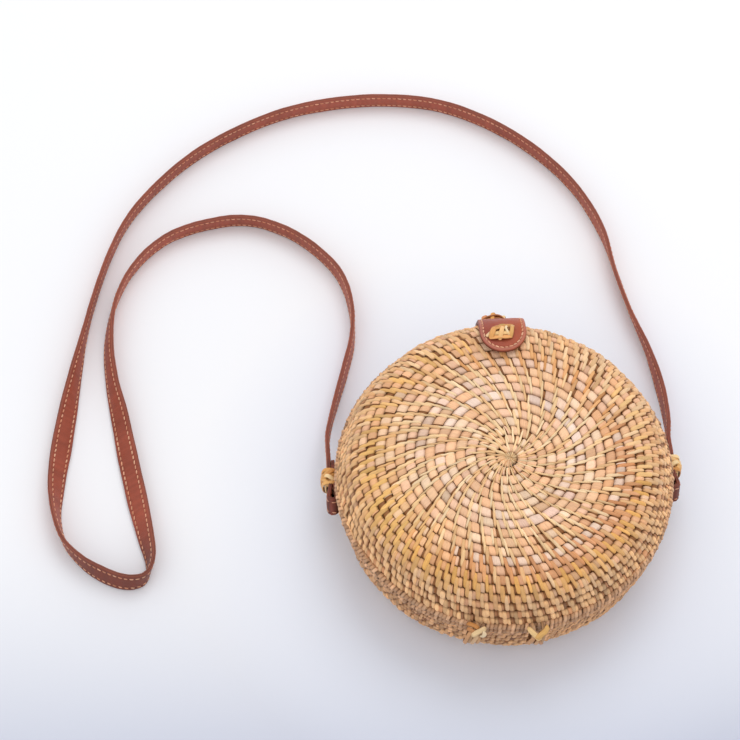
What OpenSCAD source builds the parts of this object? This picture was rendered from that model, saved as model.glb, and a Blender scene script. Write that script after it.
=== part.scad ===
// Round woven cane shoulder bag, lying on its back with the lid closed.
// Origin: middle of the flat back, on the table. +Z goes up through the lid,
// +Y towards the closing tab, +X to the right seen from above.
// The coil rows of both shells come from one function, so every hole,
// rim, lining and tie follows the bag when a size changes.

/* [Bag] */
// Outside diameter at the seam between the two shells
bag_d = 200; // [160:5:240]
// Depth of the back shell, from its flat back to the seam
back_depth = 46; // [40:1:60]
// Depth of the lid, from the seam to the edge of its flat face
lid_depth = 30; // [26:1:40]
// How far the middle of the lid's face stands above its edge
lid_crown = 2; // [0.5:0.5:4]
// Radius of the back shell's rounded shoulder
back_shoulder_r = 22; // [18:1:26]
// Radius of the lid's rounded shoulder
lid_shoulder_r = 21; // [16:1:24]
// How much the back shell's wall leans in, in degrees
back_lean = 9; // [5:1:14]
// How much the lid's wall leans in, in degrees
lid_lean = 20; // [12:1:26]

/* [Weave] */
// Thickness of one bound coil row
coil_d = 5; // [4.4:0.1:5.6]
// Distance between neighbouring coil rows
coil_pitch = 5.79; // [5.4:0.01:7]
// Radius of the coil's first half turn, round the middle of a face
coil_start = 3.2; // [3:0.1:4]
// Thickness of the binding between two rows
web_t = 2.4; // [2:0.2:3.4]
// How far the middle of the lid's spiral lies from the lid's middle, towards the tab
lid_coil_y = -2.2; // [-3:0.1:2]
// Thickness of the rim hoop that ends each shell
rim_d = 4.2; // [3.6:0.2:4.6]
// Gap between the two rim hoops at the seam
seam_gap = 0.3; // [0.2:0.1:0.6]

/* [Lining] */
// Thickness of the cotton lining
lining_t = 0.8; // [0.6:0.1:1.5]
// Gap between the coil rows and the lining
lining_gap = 0.4; // [0.3:0.1:0.8]
// How far each lining stops short of the seam
lining_drop = 9; // [8:0.5:14]

/* [Hinge ties] */
// How far the hinge is turned round the bag from the middle, in degrees
hinge_turn = -3.2; // [-6:0.2:6]
// Distance between the two ties
tie_spread = 35; // [28:1:44]
// Thickness of the twisted cane strand of a tie
tie_strand_d = 2; // [1.8:0.1:2.2]
// Diameter of the knot on a tie
tie_knot_d = 3.4; // [3:0.1:3.8]
// How far below the seam line the knot sits round the loop, in degrees
tie_knot_turn = 25; // [20:1:32]
// Angle between a tie's crossing strands and the seam, in degrees
tie_cross = 35; // [20:1:50]
// Clearance of a tie in its slot
tie_clear = 0.35; // [0.3:0.05:0.5]

/* [Strap] */
// Width of the leather strap
strap_w = 14; // [10:0.5:16]
// Thickness of the leather strap
strap_t = 2.4; // [2:0.1:3]
// Height of the strap's knots above the table
knot_z = 26; // [24:0.5:30]
// Distance of the strap's knots from the middle, towards the tab
knot_y = 11.7; // [6:0.1:16]
// Gap between the widest part of the bag and the folded strap end
strap_gap = 0.4; // [0.4:0.1:1.5]
// How steeply the strap drops from its knots to the table, in degrees
strap_tilt = 15; // [10:1:18]
// Length of the folded end below the knot
fold_tail = 24; // [20:1:26]
// Length of the doubled strap above the knot
fold_lap = 12; // [9:1:14]
// Outer radius of the open loop at the folded end
fold_r = 3.8; // [3.4:0.1:4.2]
// Length over which the two layers part towards that loop
fold_neck = 11; // [9:0.5:12]
// How far round the loop's two sides start to bend back, in degrees
fold_open = 105; // [98:1:112]
// Gap between the two layers of the folded end
fold_gap = 0.2; // [0.1:0.05:0.4]
// One square of the grid that the strap's route is drawn on
strap_grid = 10; // [9.6:0.1:10.4]

/* [Strap knots] */
// Thickness of the cane stem through strap and wall
stem_d = 3.2; // [2.6:0.1:3.6]
// Clearance round a stem in its hole
stem_clear = 0.2; // [0.15:0.05:0.3]
// Diameter of the knot's core
knot_core_d = 6.4; // [5.6:0.2:7]
// Thickness of the strands wound round the knot
knot_strand_d = 2; // [1.6:0.1:2.4]

/* [Closing tab] */
// Width of the leather tab
tab_w = 28; // [22:1:34]
// Thickness of the tab's doubled leather
tab_t = 2.6; // [2:0.1:3]
// Place of the tab, right of the middle is positive
tab_x = 3.5; // [0:0.5:6]
// Gap between the tab and what it lies on
tab_gap = 0.8; // [0.5:0.1:1.2]
// Height of the line where the tab bends, above the seam
tab_bend_rise = 4; // [3:0.5:6]
// Gap between the two halves of the tab at its bend
bend_clear = 0.3; // [0.3:0.05:0.4]
// How far the tab's fixed end reaches below the seam
tab_base_drop = 20; // [16:1:22]
// Width of the cane bow on the tab's tip
bow_w = 17; // [14:0.5:19]
// Thickness of the bow's strands
bow_strand_d = 2; // [1.6:0.1:2.4]
// Thickness of the two legs that hold a bow
bow_leg_d = 1.6; // [1.2:0.1:2]
// Diameter of the wrap round a bow's waist
bow_wrap_d = 4.4; // [4:0.1:5]

/* [Press stud] */
// How far round the lid's shoulder the stud stands, from the flat face, in degrees
snap_turn = 12.7; // [9:0.1:18]
// Diameter of the stud's head
stud_d = 4.4; // [3.8:0.1:5]
// Diameter of the stud's flange and of the washer inside the lid
flange_d = 6.6; // [6:0.1:7.5]
// Thickness of the stud's post and of the cap's rivet
post_d = 2.2; // [1.8:0.1:2.6]
// Diameter of the socket that snaps over the stud
socket_d = 9; // [8:0.1:10]
// Height of the socket
socket_h = 1.8; // [1.6:0.1:2.4]
// Clearance between stud and socket
stud_clear = 0.2; // [0.15:0.05:0.3]
// Diameter of the cap above the tab
cap_d = 8; // [7:0.1:9]
// Thickness of the sheet metal
metal_t = 0.5; // [0.4:0.1:0.6]

/* [Hidden] */

// Smoothness of round parts, large and small
round_fn = 96;
small_fn = 32;
// Straight steps that follow the crowned face, a shoulder and the folded leather
face_steps = 8;
lining_steps = 12;
fold_steps = 8;
// Overrun of every cut past the face that it opens
over = 1;
// Small play between pieces of one body that lie side by side
seat = 0.1;

cane = [0.85, 0.66, 0.42];
gold_cane = [0.85, 0.58, 0.25];
leather = [0.50, 0.24, 0.15];
cotton = [0.93, 0.89, 0.80];
metal = [0.72, 0.60, 0.38];

bag_r = bag_d / 2;
coil_r = coil_d / 2;
rim_r = rim_d / 2;
tie_r = tie_strand_d / 2;
stem_r = stem_d / 2;
// How deep the coil rows of the back are cut flat, to stand on
back_flat = 0.4;
back_cut = back_depth + back_flat;

// A shell is described mouth down: mouth at z = 0 and face at z = depth. Its
// outside runs from the middle of the face round the shoulder and down the wall,
// which leans in from the mouth. s is the distance along that line.
function face_r(depth, sr, lean) =
    bag_r - sr * cos(lean) - tan(lean) * (depth - sr + sr * sin(lean));
function wall_len(depth, sr, lean) = (depth - sr + sr * sin(lean)) / cos(lean);

function shoulder_len(sr, lean) = (90 - lean) * PI / 180 * sr;
function outside_len(depth, sr, lean) =
    face_r(depth, sr, lean) + shoulder_len(sr, lean) + wall_len(depth, sr, lean);
// Point [radius, height] of the middle of a coil row, and the way s grows there
function row_at(s, depth, sr, lean, crown) =
    let (fr = face_r(depth, sr, lean), bend = shoulder_len(sr, lean),
         turn = min(max(s - fr, 0) * 180 / PI / sr, 90 - lean),
         down = max(s - fr - bend, 0),
         way = [cos(turn), -sin(turn)],
         rise = s < fr ? crown * (1 - pow(s / fr, 2)) : 0)
    [[min(s, fr), depth - sr + rise] + (sr - coil_r) * [sin(turn), cos(turn)] + down * way, way];

function unit(v) = v / norm(v);
function reversed(pts) = [for (k = [len(pts) - 1:-1:0]) pts[k]];
// A line moved sideways, to its right as it runs
function side_line(pts, off) =
    [for (k = [0:len(pts) - 1])
        let (t = unit(pts[min(k + 1, len(pts) - 1)] - pts[max(k - 1, 0)]))
        pts[k] + off * [t.y, -t.x]];
// Outline of a strip of leather laid along a line
function strip(line, thick) =
    concat(side_line(line, thick / 2), reversed(side_line(line, -thick / 2)));

// A shell is one coil bound to itself: a spiral of round half turns joined by a
// thinner web of binding. The half turns behind have their centre a quarter of
// the pitch to the right, those in front as far to the left, so each starts
// where the last one ends. A spiral that is off centre by off moves over on the
// face and tilts on the wall. The rim ends the coil.
rim_z = seam_gap / 2 + rim_r;
wall_start = seam_gap / 2 + rim_d + seat;
half_pitch = coil_pitch / 2;
module shell(depth, sr, lean, crown, off) {
    len = outside_len(depth, sr, lean);
    fr = face_r(depth, sr, lean);
    line = [for (s = concat([for (j = [0:face_steps]) fr * j / face_steps],
            [for (j = [1:lining_steps]) fr + shoulder_len(sr, lean) * j / lining_steps], [len]))
        row_at(s, depth, sr, lean, crown)[0]];
    difference() {
        union() {
            rotate_extrude($fn = round_fn)
                polygon([for (p = strip(line, web_t)) [max(0, p.x), p.y]]);
            for (m = [0:floor((len - coil_start) / half_pitch)]) {
                s = coil_start + m * half_pitch;
                row = row_at(s, depth, sr, lean, crown);
                r = row[0].x;
                front = m % 2 == 0;
                shift = [(front ? -1 : 1) * half_pitch / 2, off];
                splice = seat * 180 / PI / r;
                translate([shift.x * row[1].x, shift.y * row[1].x, row[0].y])
                    rotate(a = asin(norm(shift) * row[1].y / r), v = [shift.y, -shift.x, 0])
                        rotate([0, 0, (front ? 180 : 0) + splice / 2])
                            rotate_extrude(angle = 180 - splice, $fn = round_fn)
                                translate([r, 0]) circle(coil_r, $fn = small_fn);
            }
            translate([0, off, line[0].y - coil_r])
                cylinder(coil_d, r = coil_r, $fn = small_fn);
        }
        translate([0, 0, wall_start - depth]) cylinder(depth, r = 2 * bag_r);
    }
}

// Line inside a shell at a distance from its outer surface: up the wall from
// the foot, round the shoulder and in to the axis
function inside_line(inset, foot, depth, sr, lean) =
    let (fr = face_r(depth, sr, lean), r = sr - inset)
    concat([[bag_r - inset / cos(lean) - foot * tan(lean), foot]],
        [for (j = [0:lining_steps])
            let (a = lean + (90 - lean) * j / lining_steps)
            [fr + r * cos(a), depth - sr + r * sin(a)]],
        [[0, depth - inset]]);

module lining(depth, sr, lean) {
    skin = coil_d + lining_gap;
    rotate_extrude($fn = round_fn)
        polygon(concat(inside_line(skin, lining_drop, depth, sr, lean),
            reversed(inside_line(skin + lining_t, lining_drop, depth, sr, lean))));
}

// The ties are loops round the line that the lid turns about, which touches
// the rims half way between them. Each is just wide enough to pass the rims.
hoop_r = bag_r - rim_r - seat;
hoop_in = bag_r - sqrt(hoop_r * hoop_r - tie_spread * tie_spread / 4);
tie_loop_r = norm([hoop_in, rim_z]) + rim_r + tie_clear + tie_r;
module at_hinge() { rotate([0, 0, hinge_turn]) translate([0, -bag_r, 0]) children(); }

// A slot for each hinge tie, next to the rim hoop
module tie_slots() {
    slot_w = tie_strand_d + 2 * tie_clear;
    slot_r = tie_loop_r + tie_r + tie_clear;
    at_hinge() for (side = [-1, 1])
        translate([side * tie_spread / 2 - slot_w / 2, -over, rim_z])
            cube([slot_w, slot_r + over, slot_r - rim_z]);
}

// Places that both shells share, measured from the seam
module at_back() { translate([0, 0, back_depth]) mirror([0, 0, 1]) children(); }
module at_lid() { translate([0, 0, back_depth]) children(); }

module back_shell() {
    color(cane) difference() {
        intersection() {
            at_back() difference() {
                shell(back_cut, back_shoulder_r, back_lean, 0, 0);
                tie_slots();
            }
            translate([-bag_d, -bag_d, 0]) cube([2 * bag_d, 2 * bag_d, back_depth]);
        }
        for (side = [-1, 1]) strap_stem_cut(side);
        tab_stem_cut();
    }
}

module rim() {
    rotate_extrude($fn = round_fn)
        translate([hoop_r, rim_z]) circle(rim_r, $fn = small_fn);
}

module back_rim() { color(cane) at_back() rim(); }

module back_lining() {
    color(cotton) difference() {
        at_back() lining(back_cut, back_shoulder_r, back_lean);
        for (side = [-1, 1]) inner_knot_cut(side);
    }
}

module lid_shell() {
    color(cane) difference() {
        at_lid() difference() {
            shell(lid_depth, lid_shoulder_r, lid_lean, lid_crown, lid_coil_y);
            tie_slots();
        }
        snap_cut(post_d / 2);
        // The rows are pressed flat under the stud's flange
        at_snap() cylinder(over, r = flange_d / 2 + seat, $fn = small_fn);
    }
}

module lid_rim() { color(cane) at_lid() rim(); }

module lid_lining() {
    color(cotton) difference() {
        at_lid() lining(lid_depth, lid_shoulder_r, lid_lean);
        snap_cut(flange_d / 2);
    }
}

// A hinge tie is a closed loop of cane round the seam, with its knot outside
// and below, clear of the lid when that is open
module hinge_tie(side) {
    color(gold_cane) at_hinge() translate([side * tie_spread / 2, 0, back_depth]) {
        rotate([0, 90, 0]) rotate_extrude($fn = small_fn)
            translate([tie_loop_r, 0]) circle(tie_r, $fn = small_fn);
        rotate([tie_knot_turn, 0, 0]) translate([0, -tie_loop_r, 0]) {
            sphere(d = tie_knot_d, $fn = small_fn);
            for (turn = [-1, 1]) rotate([0, 90, turn * tie_cross])
                rotate_extrude($fn = small_fn)
                    translate([tie_knot_d / 2, 0]) circle(tie_r / 2, $fn = small_fn);
        }
    }
}
module hinge_tie_left() { hinge_tie(-1); }
module hinge_tie_right() { hinge_tie(1); }

// Folded strap ends: v is measured outwards from the inner face of the fold
fold_in_x = bag_r + strap_gap;
fold_mid = strap_t + fold_gap / 2;
fold_out = 2 * strap_t + fold_gap;
band_x = fold_in_x + fold_out - strap_t / 2;
fold_ring_v = max(fold_mid, fold_r - strap_gap - seat);

// Middle line of the fold, seen along the strap's width: u runs towards the
// tail, where the two layers part into a round loop
ring_u = fold_tail - fold_r;
neck_u = ring_u - fold_neck;
fold_mid_r = fold_r - strap_t / 2;
fold_line = concat(
    [[-fold_lap, fold_out - strap_t / 2], [neck_u, fold_out - strap_t / 2]],
    [for (j = [0:2 * fold_steps]) let (a = fold_open * (1 - j / fold_steps))
        [ring_u + fold_mid_r * cos(a), fold_ring_v + fold_mid_r * sin(a)]],
    [[neck_u, strap_t / 2], [-fold_lap, strap_t / 2]]);

module at_strap_knot(side) {
    translate([side * fold_in_x, knot_y, knot_z]) mirror([side > 0 ? 0 : 1, 0, 0]) children();
}

module strap_end(side) {
    color(leather) at_strap_knot(side) difference() {
        rotate([-strap_tilt, 0, 0]) rotate([0, 0, -90])
            translate([0, 0, -strap_w / 2]) linear_extrude(strap_w)
                polygon(strip(fold_line, strap_t));
        translate([-over - fold_r, 0, 0]) rotate([0, 90, 0])
            cylinder(fold_out + 2 * (over + fold_r), r = stem_r + stem_clear, $fn = small_fn);
    }
}
module strap_end_left() { strap_end(-1); }
module strap_end_right() { strap_end(1); }

// The knot's stem runs out through the wall and both leather layers
knot_mid_x = fold_out + seat + knot_core_d / 2;
inner_face_x = bag_r - 2 * coil_d - lining_gap;
module strap_stem_cut(side) {
    at_strap_knot(side) translate([-fold_in_x + inner_face_x - coil_d, 0, 0]) rotate([0, 90, 0])
        cylinder(bag_r, r = stem_r + stem_clear, $fn = small_fn);
}
module inner_knot_cut(side) {
    at_strap_knot(side) translate([-fold_in_x + inner_face_x - coil_d, 0, 0]) rotate([0, 90, 0])
        cylinder(bag_r, r = knot_core_d / 2 + lining_gap, $fn = small_fn);
}

module wound_knot(core_r, strand_r) {
    sphere(core_r, $fn = small_fn);
    for (turn = [[0, 90, 0], [55, 0, 0], [-55, 0, 0]]) rotate(turn)
        rotate_extrude($fn = small_fn)
            translate([core_r - strand_r / 4, 0]) circle(strand_r, $fn = small_fn);
}

module strap_knot(side) {
    core_r = knot_core_d / 2;
    inner_x = wall_in_x(knot_z) - fold_in_x - core_r - seat;
    color(gold_cane) at_strap_knot(side) {
        intersection() {
            translate([knot_mid_x, 0, 0]) wound_knot(core_r, knot_strand_d / 2);
            translate([fold_out + seat, -bag_r, -bag_r]) cube([bag_r, bag_d, bag_d]);
        }
        translate([inner_x, 0, 0]) rotate([0, 90, 0])
            cylinder(knot_mid_x - inner_x, r = stem_r, $fn = small_fn);
        translate([inner_x, 0, 0]) sphere(core_r, $fn = small_fn);
    }
}
// Distance of the wall's inner surface from the middle at a height z
function wall_in_x(z) = let (r = bag_r - (back_depth - z) * tan(back_lean) - coil_d / cos(back_lean))
    sqrt(r * r - knot_y * knot_y);
module strap_knot_left() { strap_knot(-1); }
module strap_knot_right() { strap_knot(1); }

// Route of the strap on the table, in grid squares: x, y, lift of its lower
// edge, and the lean of its upper edge to the left of the way it runs.
strap_route = [
    [-10.3, 4.4, 1.0, 0], [-10.1, 5.8, 0.45, -1], [-9.7, 7.5, 0.1, 2],
    [-9.1, 9.6, 0, 6], [-8.5, 12.0, 0, 4], [-8.45, 14.3, 0, -4],
    [-9.0, 16.6, 0, -4], [-10.3, 18.5, 0, 1], [-12.3, 20.2, 0, 5],
    [-14.8, 21.2, 0, 8], [-17.5, 21.0, 0, 8], [-20.1, 20.0, 0, 8],
    [-22.1, 18.0, 0, 8], [-23.3, 15.4, 0, 10], [-23.7, 12.6, 0, 22],
    [-23.5, 9.8, 0, 30], [-23.0, 7.2, 0, 46], [-22.5, 4.4, 0, 56],
    [-21.9, 1.4, 0, 56], [-21.4, -1.0, 0, 40], [-21.1, -2.7, 0, 22],
    [-21.4, -3.8, 0, 4], [-22.4, -4.1, 0, -10], [-23.8, -3.6, 0, -14],
    [-25.2, -2.6, 0, -5], [-26.3, -1.2, 0, 5], [-26.8, 0.7, 0, 15],
    [-26.8, 3.0, 0, 38], [-26.5, 5.6, 0, 50], [-26.1, 8.2, 0, 36],
    [-25.7, 10.6, 0, 18], [-25.2, 13.3, 0, 0], [-24.6, 15.9, 0, -4],
    [-23.7, 18.9, 0, -6], [-22.5, 21.6, 0, -7], [-20.7, 24.0, 0, -7],
    [-18.3, 26.3, 0, -6], [-15.5, 28.1, 0, -7], [-12.3, 29.5, 0, -7],
    [-8.9, 30.2, 0, -6], [-5.4, 30.3, 0, -6], [-2.0, 29.7, 0, -6],
    [1.2, 28.1, 0, -5], [4.0, 25.8, 0, -4], [6.3, 22.9, 0, -3],
    [7.8, 19.5, 0, -1], [8.45, 16.2, 0, -15], [9.1, 13.3, 0, -14],
    [9.9, 10.5, 0, -3], [10.35, 8.0, 0.1, 7], [10.5, 5.9, 0.45, 4],
    [10.45, 4.4, 1.0, 0]];
// Rings between two route points, and the corner cut of the strap's edge
ring_steps = 2;
edge_cut = 0.6;

// Height of the strap's middle when it lies on its edge, leaning by a
function lying_z(a) = strap_w / 2 * cos(a) + strap_t / 2 * abs(sin(a));
strap_start = [band_x, knot_y + (fold_lap + seat) * cos(strap_tilt),
    knot_z - (fold_lap + seat) * sin(strap_tilt)];
strap_step = strap_grid * [0, cos(strap_tilt), -sin(strap_tilt)];
function route_point(p) = [p.x * strap_grid, p.y * strap_grid,
    lying_z(p[3]) + p.z * strap_grid, p[3]];
function with_lean(p) = [p.x, p.y, p.z, 0];
function flip(p) = [-p.x, p.y, p.z];
strap_line = concat(
    [with_lean(flip(strap_start)), with_lean(flip(strap_start + strap_step))],
    [for (p = strap_route) route_point(p)],
    [with_lean(strap_start + strap_step), with_lean(strap_start)]);
strap_runs = len(strap_line) - 1;

// Smooth curve through the route
function curve(a, b, c, d, t) =
    b + t / 2 * (c - a) + t * t / 2 * (2 * a - 5 * b + 4 * c - d)
    + t * t * t / 2 * (3 * b - a - 3 * c + d);
function line_at(i) = strap_line[max(0, min(strap_runs, i))];
strap_mid = concat(
    [for (i = [0:strap_runs - 1], j = [0:ring_steps - 1])
        curve(line_at(i - 1), line_at(i), line_at(i + 1), line_at(i + 2), j / ring_steps)],
    [strap_line[strap_runs]]);
strap_last = len(strap_mid) - 1;
function place(p) = [p.x, p.y, p.z];
function strap_way(i) =
    i == 0 ? unit(strap_step)
    : i == strap_last ? unit([0, -strap_step.y, -strap_step.z])
    : unit(place(strap_mid[i + 1]) - place(strap_mid[i - 1]));
strap_section = let (w = strap_w / 2, t = strap_t / 2, c = edge_cut)
    [[-w, c - t], [-w, t - c], [c - w, t], [w - c, t], [w, t - c], [w, c - t],
     [w - c, -t], [c - w, -t]];
function strap_ring(i) =
    let (way = strap_way(i), lean = strap_mid[i][3],
         left = unit([-way.y, way.x, 0]),
         up0 = [0, 0, 1] * cos(lean) + left * sin(lean),
         up = unit(up0 - way * (way * up0)),
         out = cross(up, way))
    [for (q = strap_section) place(strap_mid[i]) + up * q.x + out * q.y];

module strap_band() {
    sides = len(strap_section);
    pts = [for (i = [0:strap_last], p = strap_ring(i)) p];
    skin = [for (i = [0:strap_last - 1], k = [0:sides - 1])
        let (a = i * sides + k, b = i * sides + (k + 1) % sides)
        each [[a, a + sides, b], [b, a + sides, b + sides]]];
    ends = concat([for (k = [1:sides - 2]) [0, k, k + 1]],
        [for (k = [1:sides - 2]) strap_last * sides * [1, 1, 1] + [0, k + 1, k]]);
    color(leather) polyhedron(pts, concat(skin, ends));
}

// The press stud stands on the lid's shoulder in the middle of the tab's round
// tip. The tab bends along the line at bend_y, bend_z.
lid_face_r = face_r(lid_depth, lid_shoulder_r, lid_lean);
snap_y = lid_face_r + lid_shoulder_r * sin(snap_turn);
shoulder_z = back_depth + lid_depth - lid_shoulder_r;
// The socket and the stud's flange fit between the lid and the tab's tip
flap_gap = socket_h + metal_t + stud_clear;
tab_mid_r = lid_shoulder_r + flap_gap + tab_t / 2;
bend_y = bag_r + tab_gap + tab_t / 2;
bend_z = back_depth + tab_bend_rise;
// The free stretch leaves the shoulder arc as a tangent to the bend line
bend_far = norm([bend_y - lid_face_r, bend_z - shoulder_z]);
leave_a = atan2(bend_z - shoulder_z, bend_y - lid_face_r) + acos(tab_mid_r / bend_far);
tab_arc_steps = 12;
tab_line = concat([[bend_y, bend_z]],
    [for (k = [0:tab_arc_steps])
        let (a = leave_a + (90 - leave_a) * k / tab_arc_steps)
        [lid_face_r + tab_mid_r * cos(a), shoulder_z + tab_mid_r * sin(a)]],
    [[snap_y - tab_w / 2, shoulder_z + tab_mid_r]]);

// Turns an outline drawn in y and z into a plate across the tab's width
module across(width) {
    translate([tab_x - width / 2, 0, 0]) rotate([90, 0, 90]) linear_extrude(width) children();
}

// Plan of the tab from above: a straight strip that ends in a half round
module tab_plan() {
    translate([tab_x, snap_y]) circle(tab_w / 2, $fn = round_fn);
    translate([tab_x - tab_w / 2, snap_y]) square([tab_w, bag_r]);
}

module tab_flap() {
    color(leather) difference() {
        intersection() {
            union() {
                across(tab_w) polygon(strip(tab_line, tab_t));
                across(tab_w) translate([bend_y, bend_z]) circle(tab_t / 2, $fn = small_fn);
            }
            linear_extrude(bag_d) tab_plan();
        }
        at_snap() {
            translate([0, 0, flap_gap - socket_h])
                cylinder(socket_h, r = socket_d / 2 + seat, $fn = small_fn);
            translate([0, 0, flap_gap - over])
                cylinder(tab_t + 2 * over, r = post_d / 2 + seat, $fn = small_fn);
            for (side = [-1, 1]) translate([side * bow_leg_x, 0, flap_gap - over])
                cylinder(tab_t + 2 * over, r = bow_leg_d / 2 + seat, $fn = small_fn);
        }
    }
}

// Fixed end of the tab, down the outside of the back shell
base_low_z = back_depth - tab_base_drop;
base_low_y = bag_r - tab_base_drop * tan(back_lean) + tab_gap + tab_t / 2;
base_way = unit([base_low_y - bend_y, base_low_z - bend_z]);
module tab_base() {
    // It starts where the flap swings clear of it
    line = [[bend_y, bend_z] + base_way * (tab_t / 2 + bend_clear), [base_low_y, base_low_z]];
    color(leather) difference() {
        across(tab_w) polygon(strip(line, tab_t));
        for (side = [-1, 1]) at_tab_knot(side * bow_leg_x)
            cylinder(4 * tab_t, r = bow_leg_d / 2 + seat, center = true, $fn = small_fn);
    }
}

// The back knot stands square to the fixed end, and its two legs run on
// through the wall between the rim and the lining
tab_base_lean = atan2(bend_y - base_low_y, bend_z - base_low_z);
tab_knot_z = back_depth - wall_start - coil_r;
tab_knot_y = bend_y - (bend_z - tab_knot_z) * tan(tab_base_lean);
module at_tab_knot(x) {
    translate([tab_x + x, tab_knot_y, tab_knot_z])
        rotate([-90 - tab_base_lean, 0, 0]) children();
}
bow_leg_x = (bow_w - bow_strand_d) / 2;
module tab_stem_cut() {
    for (side = [-1, 1]) at_tab_knot(side * bow_leg_x) translate([0, 0, -3 * coil_d])
        cylinder(3 * coil_d, r = bow_leg_d / 2 + stem_clear, $fn = small_fn);
}

// Cane bow: two flat loops side by side with a wrap round the waist, cut
// flat where it lies on the leather
module bow() {
    loop_r = (bow_w - bow_strand_d) / 4;
    intersection() {
        translate([0, 0, bow_strand_d / 2]) {
            for (side = [-1, 1]) translate([side * loop_r, 0, 0])
                rotate_extrude($fn = small_fn)
                    translate([loop_r, 0]) circle(bow_strand_d / 2, $fn = small_fn);
            rotate([0, 90, 0]) rotate_extrude($fn = small_fn)
                translate([(bow_wrap_d - bow_strand_d) / 2, 0])
                    circle(bow_strand_d / 2, $fn = small_fn);
        }
        translate([-bow_w, -bow_w, 0]) cube(2 * bow_w);
    }
}
module bow_leg(x, from, to) {
    translate([x, 0, from]) cylinder(to - from, d = bow_leg_d, $fn = small_fn);
}

// The cross bar clears the round wall at both of its ends
module tab_knot_back() {
    foot = tab_t / 2 + seat;
    reach = abs(tab_x) + bow_w / 2;
    inside = tab_t / 2 + tab_gap + coil_d + bow_leg_d / 2 + 2 * seat
        + bag_r - sqrt(bag_r * bag_r - reach * reach);
    color(gold_cane) at_tab_knot(0) {
        translate([0, 0, foot]) bow();
        for (side = [-1, 1]) bow_leg(side * bow_leg_x, -inside, foot + bow_strand_d / 2);
        translate([-bow_leg_x, 0, -inside]) rotate([0, 90, 0])
            cylinder(2 * bow_leg_x, d = bow_leg_d, $fn = small_fn);
    }
}

// The press stud stands square to the lid's shoulder under the tab
stud_h = flap_gap - metal_t - 2 * stud_clear;
module at_snap() {
    translate([tab_x, lid_face_r, shoulder_z]) rotate([-snap_turn, 0, 0])
        translate([0, 0, lid_shoulder_r]) children();
}
module snap_cut(r) {
    at_snap() translate([0, 0, -3 * coil_d])
        cylinder(3 * coil_d + over, r = r + seat, $fn = small_fn);
}

module tab_knot_front() {
    foot = flap_gap + tab_t + metal_t + 2 * seat;
    color(gold_cane) at_snap() {
        translate([0, 0, foot]) bow();
        for (side = [-1, 1])
            bow_leg(side * bow_leg_x, flap_gap + seat, foot + bow_strand_d / 2);
    }
}

// Cap and rivet through the tab
module snap_cap() {
    color(metal) at_snap() {
        translate([0, 0, flap_gap + tab_t + seat]) cylinder(metal_t, d = cap_d, $fn = small_fn);
        translate([0, 0, flap_gap])
            cylinder(tab_t + seat + metal_t / 2, d = post_d, $fn = small_fn);
    }
}

module snap_socket() {
    color(metal) at_snap() translate([0, 0, flap_gap - socket_h]) difference() {
        cylinder(socket_h - seat, d = socket_d, $fn = small_fn);
        translate([0, 0, -over])
            cylinder(socket_h + over - metal_t - seat, r = stud_d / 2 + stud_clear, $fn = small_fn);
    }
}

// Flanged stud on the lid, with a bore for the post that holds it
module snap_stud() {
    color(metal) at_snap() difference() {
        union() {
            translate([0, 0, seat]) cylinder(metal_t, d = flange_d, $fn = small_fn);
            translate([0, 0, seat]) cylinder(stud_h - seat, d = stud_d, $fn = small_fn);
        }
        translate([0, 0, seat - over])
            cylinder(over + stud_h / 2, r = post_d / 2 + seat, $fn = small_fn);
    }
}

// Post through the lid's wall with a washer inside, low enough for the
// washer to lie flat in the hollow of the shoulder
module snap_post() {
    in_r = lid_shoulder_r - coil_d;
    low = coil_d + seat + in_r - sqrt(in_r * in_r - flange_d * flange_d / 4);
    color(metal) at_snap() translate([0, 0, -low]) {
        cylinder(low + stud_h / 2, d = post_d, $fn = small_fn);
        translate([0, 0, -metal_t]) cylinder(metal_t, d = flange_d, $fn = small_fn);
    }
}

back_shell();
back_rim();
back_lining();
lid_shell();
lid_rim();
lid_lining();
hinge_tie_left();
hinge_tie_right();
strap_band();
strap_end_left();
strap_end_right();
strap_knot_left();
strap_knot_right();
tab_base();
tab_flap();
tab_knot_back();
tab_knot_front();
snap_cap();
snap_socket();
snap_stud();
snap_post();
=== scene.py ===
# %% [markdown]
# # A round bag of coiled cane
# The bag is two shallow bowls. Each is one long coil of thin cane, laid round
# and round, and every turn is bound to the turn before it with narrow strands.
# It has a leather strap that lies on its edge on the table, and a leather tab
# that snaps shut. The bag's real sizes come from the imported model, so every
# piece here is made in millimetres and put down at the same place.

# %% Load the frame
from math import pi, sin, cos, sqrt, tan, radians
import bpy
import numpy as np
from mathutils import Matrix, Vector


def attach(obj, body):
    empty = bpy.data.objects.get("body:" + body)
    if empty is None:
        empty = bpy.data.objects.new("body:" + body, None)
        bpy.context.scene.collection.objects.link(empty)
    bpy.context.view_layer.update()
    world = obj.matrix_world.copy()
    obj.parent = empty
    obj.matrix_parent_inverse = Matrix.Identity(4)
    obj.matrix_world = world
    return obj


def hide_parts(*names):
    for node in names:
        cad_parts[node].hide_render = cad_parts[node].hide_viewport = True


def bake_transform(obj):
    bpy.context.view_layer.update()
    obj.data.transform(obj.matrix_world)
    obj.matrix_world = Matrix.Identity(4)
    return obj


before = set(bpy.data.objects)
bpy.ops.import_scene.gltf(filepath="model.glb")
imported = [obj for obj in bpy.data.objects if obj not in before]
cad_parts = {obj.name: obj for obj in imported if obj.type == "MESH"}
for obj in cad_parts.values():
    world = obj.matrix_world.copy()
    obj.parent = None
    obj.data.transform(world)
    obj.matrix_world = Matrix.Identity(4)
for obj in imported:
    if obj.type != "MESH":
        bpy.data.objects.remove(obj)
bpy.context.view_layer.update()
MM = 0.001
chance = np.random.default_rng(7)

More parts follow.
